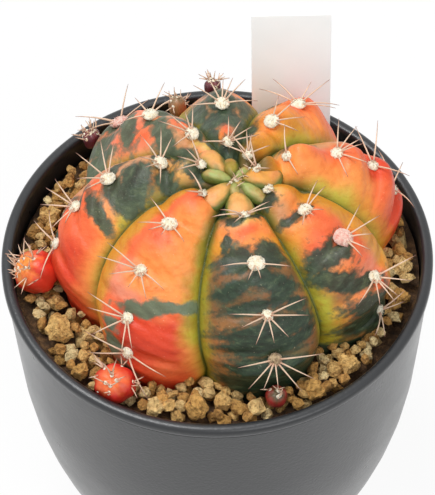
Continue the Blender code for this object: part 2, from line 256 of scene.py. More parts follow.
def drawnUp(name, stations, sides):
    # a disc at the first station, drawn from ring to ring
    clearSelection()
    radius, height = stations[0]
    bpy.ops.mesh.primitive_circle_add(vertices=sides, radius=radius, fill_type="NGON", location=(0, 0, height))
    piece = bpy.context.object
    piece.name = name
    bpy.ops.object.mode_set(mode="EDIT")
    bpy.ops.mesh.select_all(action="SELECT")
    for (r0, z0), (r1, z1) in zip(stations, stations[1:]):
        bpy.ops.mesh.extrude_region_move(TRANSFORM_OT_translate={"value": (0, 0, z1 - z0)})
        bpy.ops.transform.resize(value=(r1 / r0, r1 / r0, 1), center_override=(0, 0, z1))
    bpy.ops.mesh.select_all(action="SELECT")
    bpy.ops.mesh.normals_make_consistent(inside=False)
    bpy.ops.object.mode_set(mode="OBJECT")
    return piece


def cutWith(piece, cutter):
    cut = piece.modifiers.new("cut", "BOOLEAN")
    cut.operation = "DIFFERENCE"
    cut.object = cutter
    clearSelection()
    bpy.context.view_layer.objects.active = piece
    bpy.ops.object.modifier_apply(modifier=cut.name)
    bpy.data.objects.remove(cutter, do_unlink=True)


def potMaterial():
    made, tree, shader = newMaterial("charcoalPlastic")
    mottle = noiseOn(tree, 90.0, 5.0)
    fine = noiseOn(tree, 1500.0, 3.0, 0.6)
    colour = ramp(tree, mottle, ((0.3, tuple(c * 0.82 for c in potLook["colour"])), (0.75, potLook["colour"])))
    tree.links.new(colour, shader.inputs["Base Color"])
    gloss = ramp(tree, mottle, ((0.25, grey(potLook["roughness"] - 0.05)), (0.8, grey(potLook["roughness"] + 0.07))))
    tree.links.new(gloss, shader.inputs["Roughness"])
    shader.inputs["Specular IOR Level"].default_value = potLook["specular"]
    shader.inputs["Coat Weight"].default_value = potLook["coat"]
    shader.inputs["Coat Roughness"].default_value = potLook["coatRoughness"]
    soft = bumpFrom(tree, fine, 0.0001, 0.9)
    tree.links.new(soft, shader.inputs["Normal"])
    return made


def buildPot():
    pot = drawnUp("charcoal_pot", potStations(), potLook["sides"])
    ring = potLook["drainRing"]
    for i in range(potLook["drains"]):
        turn = 2 * math.pi * (i + 0.5) / potLook["drains"]
        clearSelection()
        spot = (ring * mm * math.cos(turn), ring * mm * math.sin(turn), 2.8 * mm)
        radius = potLook["drainRadius"] * mm
        bpy.ops.mesh.primitive_cylinder_add(vertices=40, radius=radius, depth=6 * mm, location=spot)
        cutWith(pot, bpy.context.object)
    ring = potLook["notchRing"]
    for i in range(potLook["notches"]):
        turn = 2 * math.pi * (i + 0.5) / potLook["notches"]
        clearSelection()
        spot = (ring * mm * math.cos(turn), ring * mm * math.sin(turn), 0)
        scale = tuple(side * mm for side in potLook["notchSize"])
        bpy.ops.mesh.primitive_cube_add(size=1, location=spot, rotation=(0, 0, turn), scale=scale)
        cutWith(pot, bpy.context.object)
    clearSelection()
    pot.select_set(True)
    bpy.context.view_layer.objects.active = pot
    applyPlace(pot)
    bpy.ops.object.shade_smooth_by_angle(angle=math.radians(32))
    pot.data.materials.clear()
    pot.data.materials.append(potMaterial())
    keep(pot, "pot_plastic", "pot")
    print("pot turned")


globeShape = {
    "seed": 1,
    "middle": (1.4, 1.5, 78.0),
    "lean": (0.095, 0.048),
    "crest": 36.8,
    "rise": 25.1,
    "drop": 20.0,
    "roundOut": 0.91,
    "roundUp": 0.87,
    "furrow": 6.0,
    "chin": 1.05,
    "chinSpan": 0.27,
    "wrinkle": 0.42,
    "sunk": 0.9,  # the skin lies this far below the young tubercles
    "knob": 1.3,  # depth of the grooves that part the tubercles at the crown
    "tuckTop": 10.0,
    "tuckBand": 14.0,
    "shoulder": 0.6,
    "apex": (1.0, -1.6),  # the growing point sits off the axis
    "steps": 64,
}

# azimuth in degrees, drift toward the foot, tuck at the foot, areoles down the crest in degrees of height
ribs = {
    "a": (-76.6, -0.07, 0.04, (75, 57, 37, 17)),
    "h": (-29.9, -0.02, 0.04, (79, 65, 48, 25, 4)),
    "g": (18.2, 0.13, 0.05, (84, 73, 53, 33, 15)),
    "f": (58.2, 0.09, 0.15, (82, 65, 42)),
    "e": (93.1, 0.09, 0.17, (78, 57)),
    "d": (130.3, -0.12, 0.04, (69, 46, 24)),
    "c": (178.0, -0.43, 0.09, (80, 67, 48, 32, 16)),
    "b": (229.3, -0.28, 0.04, (79, 64, 45, 26, 11)),
}
ribNames = list(ribs)

# how full the left and right flanks are: 1 is flat like a tent, 2 is a round pillow
ribFlanks = {
    "a": (2.1, 2.1), "h": (2.1, 1.6), "g": (1.9, 1.0), "f": (1.4, 0.95),
    "e": (1.0, 1.0), "d": (1.0, 1.6), "c": (1.1, 2.0), "b": (2.1, 2.1),
}
# how far each rib steps under its areoles
ribSteps = {"a": 1.0, "h": 1.35, "g": 2.3, "f": 1.5, "e": 1.0, "d": 1.2, "c": 1.2, "b": 0.8}

# extra height of a crest: degrees at its top, reach in degrees, rise in mm
ribPeaks = {"e": ((46, 11, 0.7),), "f": ((62, 12, 0.5),), "d": ((55, 14, 0.4),), "g": ((66, 10, 0.4),)}


def crestLine(t):
    rise = np.where(t >= 0, globeShape["rise"], globeShape["drop"])
    radius = globeShape["crest"] * np.maximum(np.cos(t), 0.0) ** globeShape["roundOut"]
    return radius, np.sign(t) * rise * np.abs(np.sin(t)) ** globeShape["roundUp"]


def crestNormal(t):
    r0, z0 = crestLine(t - 0.01)
    r1, z1 = crestLine(np.minimum(t + 0.01, math.pi / 2))
    out, up = z1 - z0, r0 - r1
    size = np.hypot(out, up)
    return out / size, up / size


def ribAzimuth(index, t):
    azimuth, drift = ribs[ribNames[index % 8]][:2]
    return math.radians(azimuth) + drift * (np.maximum(t, 0.0) - globeShape["shoulder"]) + 2 * math.pi * (index // 8)


def skinPoint(index, across, t, lift=0.0):
    # across runs from -1 to 1 between the rib's two furrows, t is the height angle; metres come back
    across, t = np.broadcast_arrays(np.asarray(across, float), np.asarray(t, float))
    name = ribNames[index % 8]
    here = ribAzimuth(index, t)
    beside = np.where(across > 0, ribAzimuth(index + 1, t), ribAzimuth(index - 1, t))
    azimuth = here + np.abs(across) * (beside - here) / 2
    radius, height = crestLine(t)
    foot = smoothStep((globeShape["tuckTop"] - height) / globeShape["tuckBand"])
    otherTuck = np.where(across > 0, ribs[ribNames[(index + 1) % 8]][2], ribs[ribNames[(index - 1) % 8]][2])
    tuck = ribs[name][2] + (otherTuck - ribs[name][2]) * np.abs(across) / 2
    radius = radius * (1 - tuck * foot)
    depth = globeShape["furrow"] * np.cos(t) ** 0.62 * np.where(t > 0, 1.0, np.cos(t) ** 2)
    left, right = ribFlanks[name]
    sharpness = np.where(across > 0, right, left) + 0.6 * np.maximum(np.sin(t), 0)
    crease = np.exp(-((1 - np.abs(across)) / 0.07) ** 1.3)
    crown = smoothStep((np.degrees(t) - 52) / 22)
    swell = np.zeros_like(t)
    notch = np.zeros_like(t)
    for degrees in ribs[name][3]:
        below = math.radians(degrees) - t
        span = globeShape["chinSpan"] * (1 - 0.45 * crown)
        bulge = np.sin(math.pi * (np.clip(below, 0, span) / span) ** 0.7)
        swell = np.maximum(swell, np.where((below > 0) & (below < span), bulge, 0))
        notch = np.maximum(notch, np.exp(-((below + 0.05) / 0.045) ** 2))
    crest = (1 - np.abs(across) ** 1.5) ** 1.5
    inward = depth * (0.84 * np.abs(across) ** sharpness + 0.13 * crease)
    inward = inward - swell * ribSteps[name] * globeShape["chin"] * crest
    inward = inward + notch * (0.35 * crest**2 * (1 - crown) + globeShape["knob"] * crown) - lift
    for middle, span, rise in ribPeaks.get(name, ()):
        inward = inward - rise * np.exp(-(((np.degrees(t) - middle) / span) ** 2)) * (1 - np.abs(across)) ** 1.1
    out, up = crestNormal(t)
    radius = np.maximum(radius - inward * out, 0.2)
    height = height - inward * up
    top = smoothStep((np.degrees(t) - 79) / 10)
    middle, leaning, apex = globeShape["middle"], globeShape["lean"], globeShape["apex"]
    x = middle[0] + leaning[0] * height + radius * np.cos(azimuth) + apex[0] * top
    y = middle[1] + leaning[1] * height + radius * np.sin(azimuth) + apex[1] * top
    return np.stack([x, y, middle[2] + height], -1) * mm


def globePole(height):
    x = globeShape["middle"][0] + globeShape["lean"][0] * height
    y = globeShape["middle"][1] + globeShape["lean"][1] * height
    return np.array([x, y, globeShape["middle"][2] + height]) * mm


fleshTints = {
    "orange": fromScreen(248, 148, 72),
    "coral": fromScreen(240, 108, 60),
    "red": fromScreen(218, 66, 32),
    "blood": fromScreen(196, 54, 28),
    "pink": fromScreen(246, 146, 112),
    "amber": fromScreen(216, 144, 40),
    "straw": fromScreen(218, 182, 98),
    "lime": fromScreen(190, 180, 56),
    "olive": fromScreen(150, 136, 44),
    "umber": fromScreen(122, 88, 50),
    "ochre": fromScreen(224, 164, 88),
    "honey": fromScreen(228, 158, 72),
    "leaf": fromScreen(112, 124, 52),
    "young": fromScreen(162, 170, 96),
    "brown": fromScreen(154, 104, 56),
    "tan": fromScreen(214, 152, 104),
    "moss": fromScreen(98, 104, 62),
}

# For each rib: the flesh colour at the left furrow, the left flank, the crest, the right flank and the right
# furrow, at some heights, and then the green patches: across, height angle, reach across, reach up,
# and how many degrees they climb per unit across.
ribPaint = {
    "a": {
        "columns": (-0.98, -0.74, 0.0, 0.74, 0.98),
        "flesh": (
            (88, "straw", "straw", "straw", "straw", "straw"),
            (80, "olive", "brown", "tan", "amber", "lime"),
            (74, "olive", "tan", "straw", "orange", "amber"),
            (69, "olive", "orange", "coral", "orange", "amber"),
            (64, "olive", "amber", "orange", "amber", "amber"),
            (57, "olive", "umber", "brown", "brown", "olive"),
            (50, "olive", "umber", "umber", "umber", "olive"),
            (40, "olive", "umber", "umber", "brown", "olive"),
            (33, "olive", "brown", "umber", "umber", "olive"),
            (25, "olive", "brown", "umber", "umber", "olive"),
            (12, "olive", "brown", "moss", "umber", "olive"),
            (0, "olive", "brown", "moss", "moss", "olive"),
            (-10, "olive", "moss", "moss", "moss", "moss"),
        ),
        "green": (
            (-0.75, 81, 0.25, 5, 0), (-0.3, 74, 0.3, 1.6, 2), (0.55, 74.5, 0.35, 1.3, 0), (-0.55, 66, 0.1, 3, 0),
            (-0.35, 59, 0.32, 4.5, 3), (0.35, 59, 0.36, 4, -3), (0.02, 52, 0.22, 3.5, 0), (-0.45, 48, 0.26, 3, 8),
            (0.35, 48, 0.33, 3, -7), (-0.25, 41, 0.35, 2.2, 3), (0.3, 43, 0.25, 2.4, 4), (0.55, 38, 0.22, 2.2, -6),
            (-0.1, 30, 0.5, 5.0, 2), (0.42, 31, 0.4, 3.6, -5), (-0.15, 24, 0.5, 3.2, 0), (0.3, 23, 0.45, 2.8, 3),
            (-0.1, 12, 0.42, 6.5, 0), (0.2, 2, 0.5, 7, 0), (-0.4, 3, 0.3, 5, 0), (0.1, -10, 0.8, 6, 0),
        ),
    },
    "h": {
        "columns": (-0.95, -0.6, 0.08, 0.42, 0.97),
        "flesh": (
            (88, "straw", "straw", "straw", "straw", "straw"),
            (80, "amber", "amber", "straw", "amber", "lime"),
            (72, "olive", "tan", "orange", "amber", "amber"),
            (62, "amber", "orange", "coral", "amber", "amber"),
            (54, "olive", "coral", "coral", "amber", "amber"),
            (46, "olive", "tan", "coral", "amber", "amber"),
            (38, "olive", "orange", "coral", "amber", "amber"),
            (30, "lime", "brown", "pink", "amber", "amber"),
            (22, "lime", "orange", "coral", "amber", "lime"),
            (8, "lime", "brown", "brown", "amber", "olive"),
            (-10, "olive", "moss", "moss", "brown", "olive"),
        ),
        "green": (
            (-0.55, 78, 0.35, 3, 0), (-0.35, 67, 0.45, 1.6, -2), (0.12, 66, 0.12, 1.6, 0), (-0.55, 48, 0.35, 4.5, 0),
            (-0.25, 46, 0.16, 3, 0), (-0.62, 38, 0.3, 4.5, -14), (-0.38, 31, 0.36, 3.2, -18), (-0.1, 27, 0.2, 2.2, -20),
            (-0.3, 17, 0.34, 5, -8), (-0.3, 8, 0.38, 6, 0),
            (-0.05, 0, 0.3, 6, 0), (-0.5, -6, 0.5, 5, 0), (0.3, -8, 0.3, 3, 0),
        ),
    },
    "g": {
        "flesh": (
            (88, "straw", "straw", "straw", "straw", "straw"),
            (80, "amber", "amber", "amber", "straw", "lime"),
            (73, "amber", "orange", "orange", "tan", "olive"),
            (60, "lime", "orange", "coral", "tan", "lime"),
            (48, "lime", "orange", "coral", "tan", "amber"),
            (40, "amber", "orange", "red", "pink", "amber"),
            (30, "amber", "coral", "red", "coral", "amber"),
            (10, "amber", "red", "red", "coral", "amber"),
            (-10, "lime", "coral", "blood", "red", "amber"),
        ),
        "green": ((0.6, 66, 0.2, 5, 0), (0.75, 40, 0.18, 6, 0), (0.5, 8, 0.3, 6, 10)),
    },
    "f": {
        "flesh": (
            (88, "straw", "straw", "straw", "straw", "straw"),
            (78, "amber", "amber", "amber", "amber", "olive"),
            (68, "lime", "amber", "orange", "amber", "olive"),
            (58, "lime", "amber", "orange", "orange", "olive"),
            (46, "amber", "orange", "coral", "orange", "lime"),
            (30, "amber", "coral", "coral", "coral", "lime"),
            (10, "lime", "coral", "red", "coral", "lime"),
            (-10, "lime", "red", "red", "coral", "olive"),
        ),
        "green": ((0.75, 70, 0.22, 6, 0), (0.7, 34, 0.2, 7, 0)),
    },
    "e": {
        "flesh": (
            (88, "straw", "straw", "straw", "straw", "straw"),
            (80, "olive", "moss", "olive", "moss", "olive"),
            (74, "moss", "tan", "coral", "orange", "moss"),
            (66, "moss", "moss", "moss", "moss", "moss"),
            (54, "moss", "tan", "moss", "tan", "moss"),
            (40, "olive", "orange", "coral", "tan", "olive"),
            (10, "lime", "coral", "red", "coral", "lime"),
            (-10, "lime", "red", "red", "coral", "olive"),
        ),
        "green": (
            (-0.5, 81, 0.4, 3, 0), (0.4, 80.5, 0.5, 2.6, 0),
            (0, 64, 0.9, 5.0, 0), (-0.7, 73, 0.22, 4, 0), (0.75, 72, 0.22, 4, 0),
            (-0.2, 55, 0.2, 6, 0), (0.25, 53, 0.2, 7, 0),
            (-0.7, 50, 0.2, 7, 0), (0.72, 52, 0.2, 8, 0), (0.1, 34, 0.3, 8, 0),
        ),
    },
    "d": {
        "flesh": (
            (88, "olive", "straw", "straw", "straw", "straw"),
            (80, "olive", "brown", "straw", "orange", "amber"),
            (72, "moss", "tan", "straw", "tan", "olive"),
            (64, "moss", "tan", "coral", "tan", "tan"),
            (52, "moss", "tan", "tan", "coral", "pink"),
            (44, "olive", "tan", "pink", "coral", "pink"),
            (33, "moss", "tan", "coral", "pink", "tan"),
            (20, "moss", "tan", "coral", "tan", "olive"),
            (-10, "moss", "red", "red", "coral", "olive"),
        ),
        "green": (
            (-0.6, 79, 0.35, 4, 0), (-0.5, 68, 0.3, 3, 12), (-0.2, 62, 0.14, 5, 0), (0.55, 60, 0.5, 4.2, 12),
            (0.9, 72, 0.3, 3, 0), (0.2, 52, 0.12, 5, 0), (0.45, 42, 0.3, 3.6, 12), (0.45, 24, 0.16, 9, 0),
            (0.78, 26, 0.16, 10, 0), (-0.45, 45, 0.2, 6, 0), (-0.5, 25, 0.25, 8, 0), (0.12, 22, 0.1, 8, 0),
        ),
    },
    "c": {
        "flesh": (
            (88, "olive", "straw", "straw", "straw", "straw"),
            (80, "moss", "moss", "leaf", "ochre", "ochre"),
            (75, "moss", "moss", "ochre", "ochre", "olive"),
            (68, "olive", "tan", "ochre", "brown", "olive"),
            (62, "olive", "tan", "tan", "brown", "olive"),
            (52, "tan", "tan", "tan", "tan", "lime"),
            (44, "tan", "tan", "coral", "orange", "orange"),
            (36, "tan", "tan", "coral", "coral", "orange"),
            (26, "olive", "tan", "coral", "red", "orange"),
            (10, "olive", "coral", "blood", "red", "orange"),
            (-10, "olive", "red", "blood", "blood", "coral"),
        ),
        "green": (
            (-0.4, 81, 0.5, 3.4, 0), (-0.45, 74, 0.45, 3, 0), (0.45, 79, 0.3, 1.8, 0), (0.55, 70, 0.5, 2.2, 2),
            (-0.35, 66, 0.4, 1.6, 0), (0.32, 59, 0.34, 5, 4), (0.62, 55, 0.36, 4.5, 6), (0.3, 50, 0.3, 2.6, 2),
            (0.5, 43, 0.34, 2.3, 5), (-0.4, 49, 0.3, 2, 0), (-0.05, 36, 0.12, 3, 0), (-0.2, 20, 0.12, 8, 0),
        ),
    },
    "b": {
        "columns": (-0.6, -0.36, 0.0, 0.6, 0.98),
        "flesh": (
            (88, "straw", "straw", "straw", "straw", "straw"),
            (81, "olive", "coral", "coral", "orange", "olive"),
            (76, "amber", "coral", "coral", "orange", "olive"),
            (68, "amber", "coral", "orange", "orange", "olive"),
            (60, "amber", "coral", "coral", "orange", "olive"),
            (48, "amber", "coral", "orange", "orange", "olive"),
            (40, "amber", "pink", "orange", "orange", "lime"),
            (34, "amber", "pink", "pink", "coral", "olive"),
            (28, "amber", "coral", "red", "red", "lime"),
            (16, "amber", "coral", "blood", "red", "orange"),
            (6, "coral", "coral", "red", "coral", "orange"),
            (-2, "coral", "coral", "red", "red", "orange"),
            (-10, "coral", "red", "blood", "blood", "brown"),
        ),
        "green": (
            (0.45, 35.5, 0.5, 1.9, 11), (0.85, 39, 0.22, 1.7, 8), (0.05, 31, 0.12, 1.4, 14),
            (-0.25, 20, 0.12, 2.6, 0), (-0.3, 10, 0.14, 4, 0), (-0.12, 2, 0.1, 4, 0),
        ),
    },
}


# how pale and grey the green of each rib is
ribPale = {"a": -0.2, "h": -0.05, "g": 0.2, "f": 0.2, "e": 0.2, "d": 0.45, "c": 0.12, "b": 0.75}


def fleshAt(name, across, degrees):
    # ground colour from the chart, eased between its rows and columns
    rows = ribPaint[name]["flesh"]
    levels = [row[0] for row in rows]
    chart = np.array([[fleshTints[tint] for tint in row[1:]] for row in rows])
    place = np.interp(-degrees, [-level for level in levels], np.arange(len(rows)))
    low = np.clip(place.astype(int), 0, len(rows) - 2)
    part = smoothStep(place - low)[..., None]
    columns = ribPaint[name].get("columns", (-1.0, -0.55, 0.0, 0.55, 1.0))
    spot = np.interp(across, columns, np.arange(5))
    left = np.clip(spot.astype(int), 0, 3)
    side = smoothStep(spot - left)[..., None]
    upper = chart[low, left] * (1 - side) + chart[low, left + 1] * side
    lower = chart[low + 1, left] * (1 - side) + chart[low + 1, left + 1] * side
    return upper * (1 - part) + lower * part


def greenAt(name, across, degrees):
    # how green the skin is: 1 in the middle of a patch, 0.5 at its edge, 0 far outside
    most = np.zeros_like(degrees)
    for middle, level, wide, high, climb in ribPaint[name]["green"]:
        dx = (across - middle) / wide
        dy = (degrees - level - climb * (across - middle)) / high
        most = np.maximum(most, 1 / (1 + (dx**2 + dy**2) ** 1.1))
    return most


def globeLevels():
    buried = np.radians(np.linspace(-72, -16, 10))
    shown = np.radians(np.linspace(-13, 60, 112))
    crown = np.radians(np.linspace(60.6, 88.5, 54))
    return np.concatenate([buried, shown, crown])


def buildGlobe():
    # noise_vector takes its seed from the clock unless one is set
    noise.seed_set(globeShape["seed"])
    levels = globeLevels()
    steps = globeShape["steps"]
    sides = 8 * steps
    across = np.linspace(-1, 1, steps, endpoint=False)
    aa, tt = np.meshgrid(across, levels)
    points = np.zeros((len(levels), sides, 3))
    flesh = np.zeros((len(levels), sides, 3))
    green = np.zeros((len(levels), sides))
    groove = np.zeros((len(levels), sides))
    pale = np.zeros((len(levels), sides))
    wander = np.zeros((len(levels), steps, 3))
    strokes = np.zeros((len(levels), steps))
    wrinkles = np.zeros((len(levels), steps))
    degrees = np.degrees(tt)
    for index, name in enumerate(ribNames):
        here = slice(index * steps, (index + 1) * steps)
        points[:, here] = skinPoint(index, aa, tt)
        for row in range(len(levels)):
            for column in range(steps):
                spot = Vector(points[row, index * steps + column])
                wander[row, column] = noise.noise_vector(spot * 260) * 1.0 + noise.noise_vector(spot * 900) * 0.4
                # strokes and wrinkles run from the crest down to the furrows
                side = aa[row, column]
                along = Vector((side * 1.5, (degrees[row, column] + 9 * abs(side)) * 0.33, index * 7.0))
                strokes[row, column] = noise.noise(along) + 0.5 * noise.noise(along * 2.7)
                wrinkles[row, column] = noise.noise(Vector((along.x * 0.8, along.y * 0.75, index * 3.0 + 50)))
        sunk = globeShape["sunk"] * smoothStep((degrees - 73) / 8)
        relief = -sunk + wrinkles * globeShape["wrinkle"] * (1 - np.abs(aa) ** 3) * smoothStep((70 - degrees) / 20)
        points[:, here] = skinPoint(index, aa, tt, relief)
        warpedAcross = np.clip(aa + wander[..., 0] * 0.10, -1, 1)
        warpedDegrees = degrees + wander[..., 1] * 2.4
        flesh[:, here] = fleshAt(name, warpedAcross, warpedDegrees)
        patches = greenAt(name, aa + wander[..., 2] * 0.09, degrees + wander[..., 0] * 1.8)
        green[:, here] = patches + strokes * 0.16
        wide = np.exp(-((1 - np.abs(aa)) / 0.12) ** 2) * 0.55
        # near marks a thin line along the bottom of each furrow, painted lime darkened to 0.42 low down and moss
        # darkened to 0.4 near the crown: partly the furrow's own green, partly painted shade in the crease
        near = np.exp(-((1 - np.abs(aa)) / (0.06 + 0.13 * smoothStep((degrees - 52) / 30))) ** 1.6)
        young = smoothStep((degrees - 52) / 22)[..., None]
        # painted shade: above 77 degrees the skin between the young tubercles turns toward moss at half strength,
        # partly its own dark green and partly painted shade in the valleys
        floor = 0.8 * smoothStep((degrees - 77) / 6)[..., None]
        flesh[:, here] = flesh[:, here] * (1 - floor) + np.array(fleshTints["moss"]) * 0.5 * floor
        line = np.array(fleshTints["lime"]) * 0.42 * (1 - young) + np.array(fleshTints["moss"]) * 0.4 * young
        part = wide[..., None]
        flesh[:, here] = flesh[:, here] * (1 - part) + np.array(fleshTints["lime"]) * (1 - 0.45 * young) * part
        # painted shade in the furrow crease, laid over the furrow's own green
        part = (near * 0.8)[..., None]
        flesh[:, here] = flesh[:, here] * (1 - part) + line * part
        groove[:, here] = np.abs(aa)
        pale[:, here] = ribPale[name] + 0.25 * smoothStep((np.abs(aa) - 0.6) / 0.3) + 0.3 * strokes
    low = globePole(-globeShape["drop"])
    high = points[-1].mean(0) + np.array([0, 0, 0.15 * mm])
    count = len(levels)
    flat = np.concatenate([points.reshape(-1, 3), [low], [high]])
    faces = []
    for row in range(count - 1):
        for side in range(sides):
            beside = (side + 1) % sides
            below, above = row * sides, (row + 1) * sides
            faces.append((below + side, below + beside, above + beside, above + side))
    top = (count - 1) * sides
    for side in range(sides):
        beside = (side + 1) % sides
        faces.append((count * sides, beside, side))
        faces.append((top + side, top + beside, count * sides + 1))
    globe = meshPiece("ribbed_globe", flat, faces)
    ends = np.array([fleshTints["moss"], fleshTints["straw"]])
    pointColours(globe, "flesh", np.concatenate([flesh.reshape(-1, 3), ends]))
    pointValues(globe, "green", np.concatenate([green.ravel(), [0, 0]]))
    pointValues(globe, "groove", np.concatenate([groove.ravel(), [0, 0]]))
    pointValues(globe, "pale", np.concatenate([pale.ravel(), [0, 0]]))
    globe.data.materials.append(skinMaterial())
    keep(globe, "cactus_skin", "cactus_globe")
    print("globe grown:", len(globe.data.polygons), "faces")
    return globe


# young tubercles round the growing point: x, y, heading in degrees, half length, half width, foot and top tints
youngTubercles = (
    (-0.6, 7.2, 126, 4.1, 2.4, "leaf", "ochre"),
    (3.1, 5.1, 97, 2.8, 1.7, "leaf", "olive"),
    (0.2, 3.0, 155, 3.5, 1.7, "leaf", "young"),
    (0.2, -1.9, 220, 4.3, 2.5, "leaf", "ochre"),
    (4.7, -4.9, 284, 4.0, 2.9, "leaf", "ochre"),
    (7.3, -1.2, 324, 3.6, 1.7, "leaf", "young"),
    (9.4, 2.9, 12, 4.3, 3.3, "leaf", "honey"),
    (5.4, 3.5, 50, 2.4, 1.2, "leaf", "young"),
    (3.7, -0.7, 268, 1.8, 1.3, "leaf", "young"),
)
tubercleShape = {"middle": 101.35, "height": 1.6, "droop": 0.045}
# pinches of wool between them: x, y, radius
crownWool = ((4.2, 1.5, 0.55), (3.0, 0.9, 0.4), (5.6, 2.6, 0.35), (3.9, -0.6, 0.35), (6.9, 4.4, 0.45))


def buildCrown(skin):
    points, faces, flesh = [], [], []
    rays, ballFaces = ballOf(14, 28)
    for number, (x, y, heading, long, wide, foot, top) in enumerate(youngTubercles):
        turn = Matrix.Rotation(math.radians(heading), 3, "Z")
        faces += [tuple(len(points) + i for i in face) for face in ballFaces]
        # painted shade: the foot tint is darkened by a quarter and the top tint takes over higher up, so each tubercle
        # is darker low down; partly its own green foot, partly painted shade in the valleys
        low = np.array(fleshTints[foot]) * 0.75
        high = np.array(fleshTints[top])
        for ray in rays:
            taper = 1 + 0.22 * ray.x  # broader away from the growing point
            rough = 1 + 0.07 * noise.noise(ray * 1.6 + Vector((number * 9.0, 0, 0)))
            spot = Vector((ray.x * long, ray.y * wide * taper, ray.z * tubercleShape["height"])) * rough
            spot.z -= tubercleShape["droop"] * max(spot.x + long, 0) ** 1.4
            points.append((Vector((x, y, tubercleShape["middle"])) + turn @ spot) * mm)
            patch = 0.35 * noise.noise(ray * 2 + Vector((0, number * 5.0, 0)))
            share = float(smoothStep((ray.z - 0.2 + patch - 0.3 * abs(ray.y)) / 0.6))
            pink = max(0.0, 0.8 * ray.x + 0.5 * noise.noise(ray * 2.4 + Vector((number * 3.0, 0, 9)))) * share
            tint = low * (1 - share) + high * share
            flesh.append(tint * (1 - 0.6 * pink) + np.array(fleshTints["pink"]) * 0.6 * pink)
    crown = meshPiece("young_tubercles", points, faces)
    pointColours(crown, "flesh", np.array(flesh))
    pointValues(crown, "green", [0.02 + 0.2 * noise.noise(p * 420) for p in points])
    pointValues(crown, "groove", np.zeros(len(points)))
    crown.data.materials.append(skin)
    keep(crown, "cactus_skin")
    # wool and first spines
    chance = random.Random(3)
    bundle = Bundle()
    for x, y, size in crownWool:
        place = Matrix.Translation(Vector((x, y, tubercleShape["middle"] + 0.6)) * mm)
        woolBall(bundle, place, size, size * 0.8, 0, chance, 10, 6)
        for _ in range(3):
            side, down = chance.uniform(-1, 1), chance.uniform(-1, 1)
            spine(bundle, place, side, down, 0.7, chance.uniform(1.4, 2.8), 0.3, 0.13, 1, chance)
    keep(bundle.piece("crown_wool", (creamWool, spineHorn)), "spines_and_wool")


skinLook = {
    "deepGreen": fromScreen(18, 32, 20),
    "blueGreen": fromScreen(38, 60, 42),
    "paleGreen": fromScreen(88, 102, 72),
    "sage": fromScreen(122, 138, 110),
    # the furrow colour is partly the furrow's own dark olive and partly painted shade in the furrow creases
    "furrow": fromScreen(58, 72, 14),
    "dust": fromScreen(240, 226, 190),
    "roughness": 0.42,
    "specular": 0.38,
    "subsurface": 0.06,
}


def skinMaterial():
    made, tree, shader = newMaterial("variegatedSkin")
    flesh = addNode(tree, "ShaderNodeAttribute", attribute_name="flesh").outputs["Color"]
    green = addNode(tree, "ShaderNodeAttribute", attribute_name="green").outputs["Fac"]
    groove = addNode(tree, "ShaderNodeAttribute", attribute_name="groove").outputs["Fac"]
    pale = addNode(tree, "ShaderNodeAttribute", attribute_name="pale").outputs["Fac"]
    ragged = noiseOn(tree, 750.0, 6.0, 0.65)
    broad = noiseOn(tree, 190.0, 4.0, 0.6)
    streak = noiseOn(tree, 420.0, 5.0, 0.6, (1.0, 1.0, 2.6))
    speck = noiseOn(tree, 2600.0, 2.0, 0.5)
    # flesh: warm mottling, with paler and redder drifts
    drift = ramp(tree, streak, ((0.3, (0.86, 0.72, 0.6)), (0.5, (0.97, 0.97, 0.97)), (0.72, (1.0, 1.08, 1.15))))
    body = blendColours(tree, 1.0, flesh, drift, "MULTIPLY")
    redder = ramp(tree, broad, ((0.52, grey(0.0)), (0.74, grey(0.14))))
    body = blendColours(tree, redder, body, fleshTints["coral"])
    # green patches with a ragged edge and a pale seam
    edge = sums(tree, "ADD", green, sums(tree, "MULTIPLY", sums(tree, "SUBTRACT", ragged, 0.5), 0.55))
    edge = sums(tree, "ADD", edge, sums(tree, "MULTIPLY", sums(tree, "SUBTRACT", streak, 0.5), 0.5))
    cover = ramp(tree, edge, ((0.24, grey(0.0)), (0.36, grey(0.6)), (0.5, grey(0.97))))
    stops = ((0.3, skinLook["deepGreen"]), (0.56, skinLook["blueGreen"]), (0.78, skinLook["paleGreen"]))
    tone = ramp(tree, streak, stops)
    tone = blendColours(tree, sums(tree, "MULTIPLY", pale, 0.62, True), tone, skinLook["sage"])
    body = blendColours(tree, cover, body, tone)
    # furrow line: dark olive along the bottom of each furrow, partly the furrow's own colour and partly painted shade
    # in the crease
    line = ramp(tree, groove, ((0.965, grey(0.0)), (0.99, grey(0.85))))
    body = blendColours(tree, line, body, skinLook["furrow"])
    # pale dust specks
    dots = ramp(tree, speck, ((0.7, grey(0.0)), (0.76, grey(0.3))))
    body = blendColours(tree, dots, body, skinLook["dust"])
    tree.links.new(body, shader.inputs["Base Color"])
    shader.inputs["Roughness"].default_value = skinLook["roughness"]
    shader.inputs["Specular IOR Level"].default_value = skinLook["specular"]
    shader.inputs["Subsurface Weight"].default_value = skinLook["subsurface"]
    shader.inputs["Subsurface Radius"].default_value = (1.0, 0.4, 0.2)
    shader.inputs["Subsurface Scale"].default_value = 0.0015
    coarse = bumpFrom(tree, broad, 0.0007, 0.6)
    fine = bumpFrom(tree, ragged, 0.00022, 0.7, coarse)
    tree.links.new(fine, shader.inputs["Normal"])
    return made


spineLook = {
    "root": 0.21,
    "tip": 0.035,
    "stations": 9,
    "sides": 6,
    "lift": 0.72,
    "roughness": 0.5,
    "base": fromScreen(196, 140, 112),
    "shaft": fromScreen(232, 200, 172),
    "point": fromScreen(140, 86, 72),
}

# side, down, length in mm, bend
spineSet = (
    (-1.35, -0.10, 9.6, 0.6),
    (-1.05, 0.55, 10.2, 0.5),
    (-0.50, 1.05, 8.2, 0.4),
    (0.10, 1.25, 7.0, 0.3),
    (0.62, 1.0, 8.6, 0.4),
    (1.10, 0.5, 10.0, 0.5),
    (1.35, -0.12, 9.4, 0.6),
)
woolLook = {"radius": 1.85, "height": 1.7, "fibres": 70, "fibreLength": 0.38}


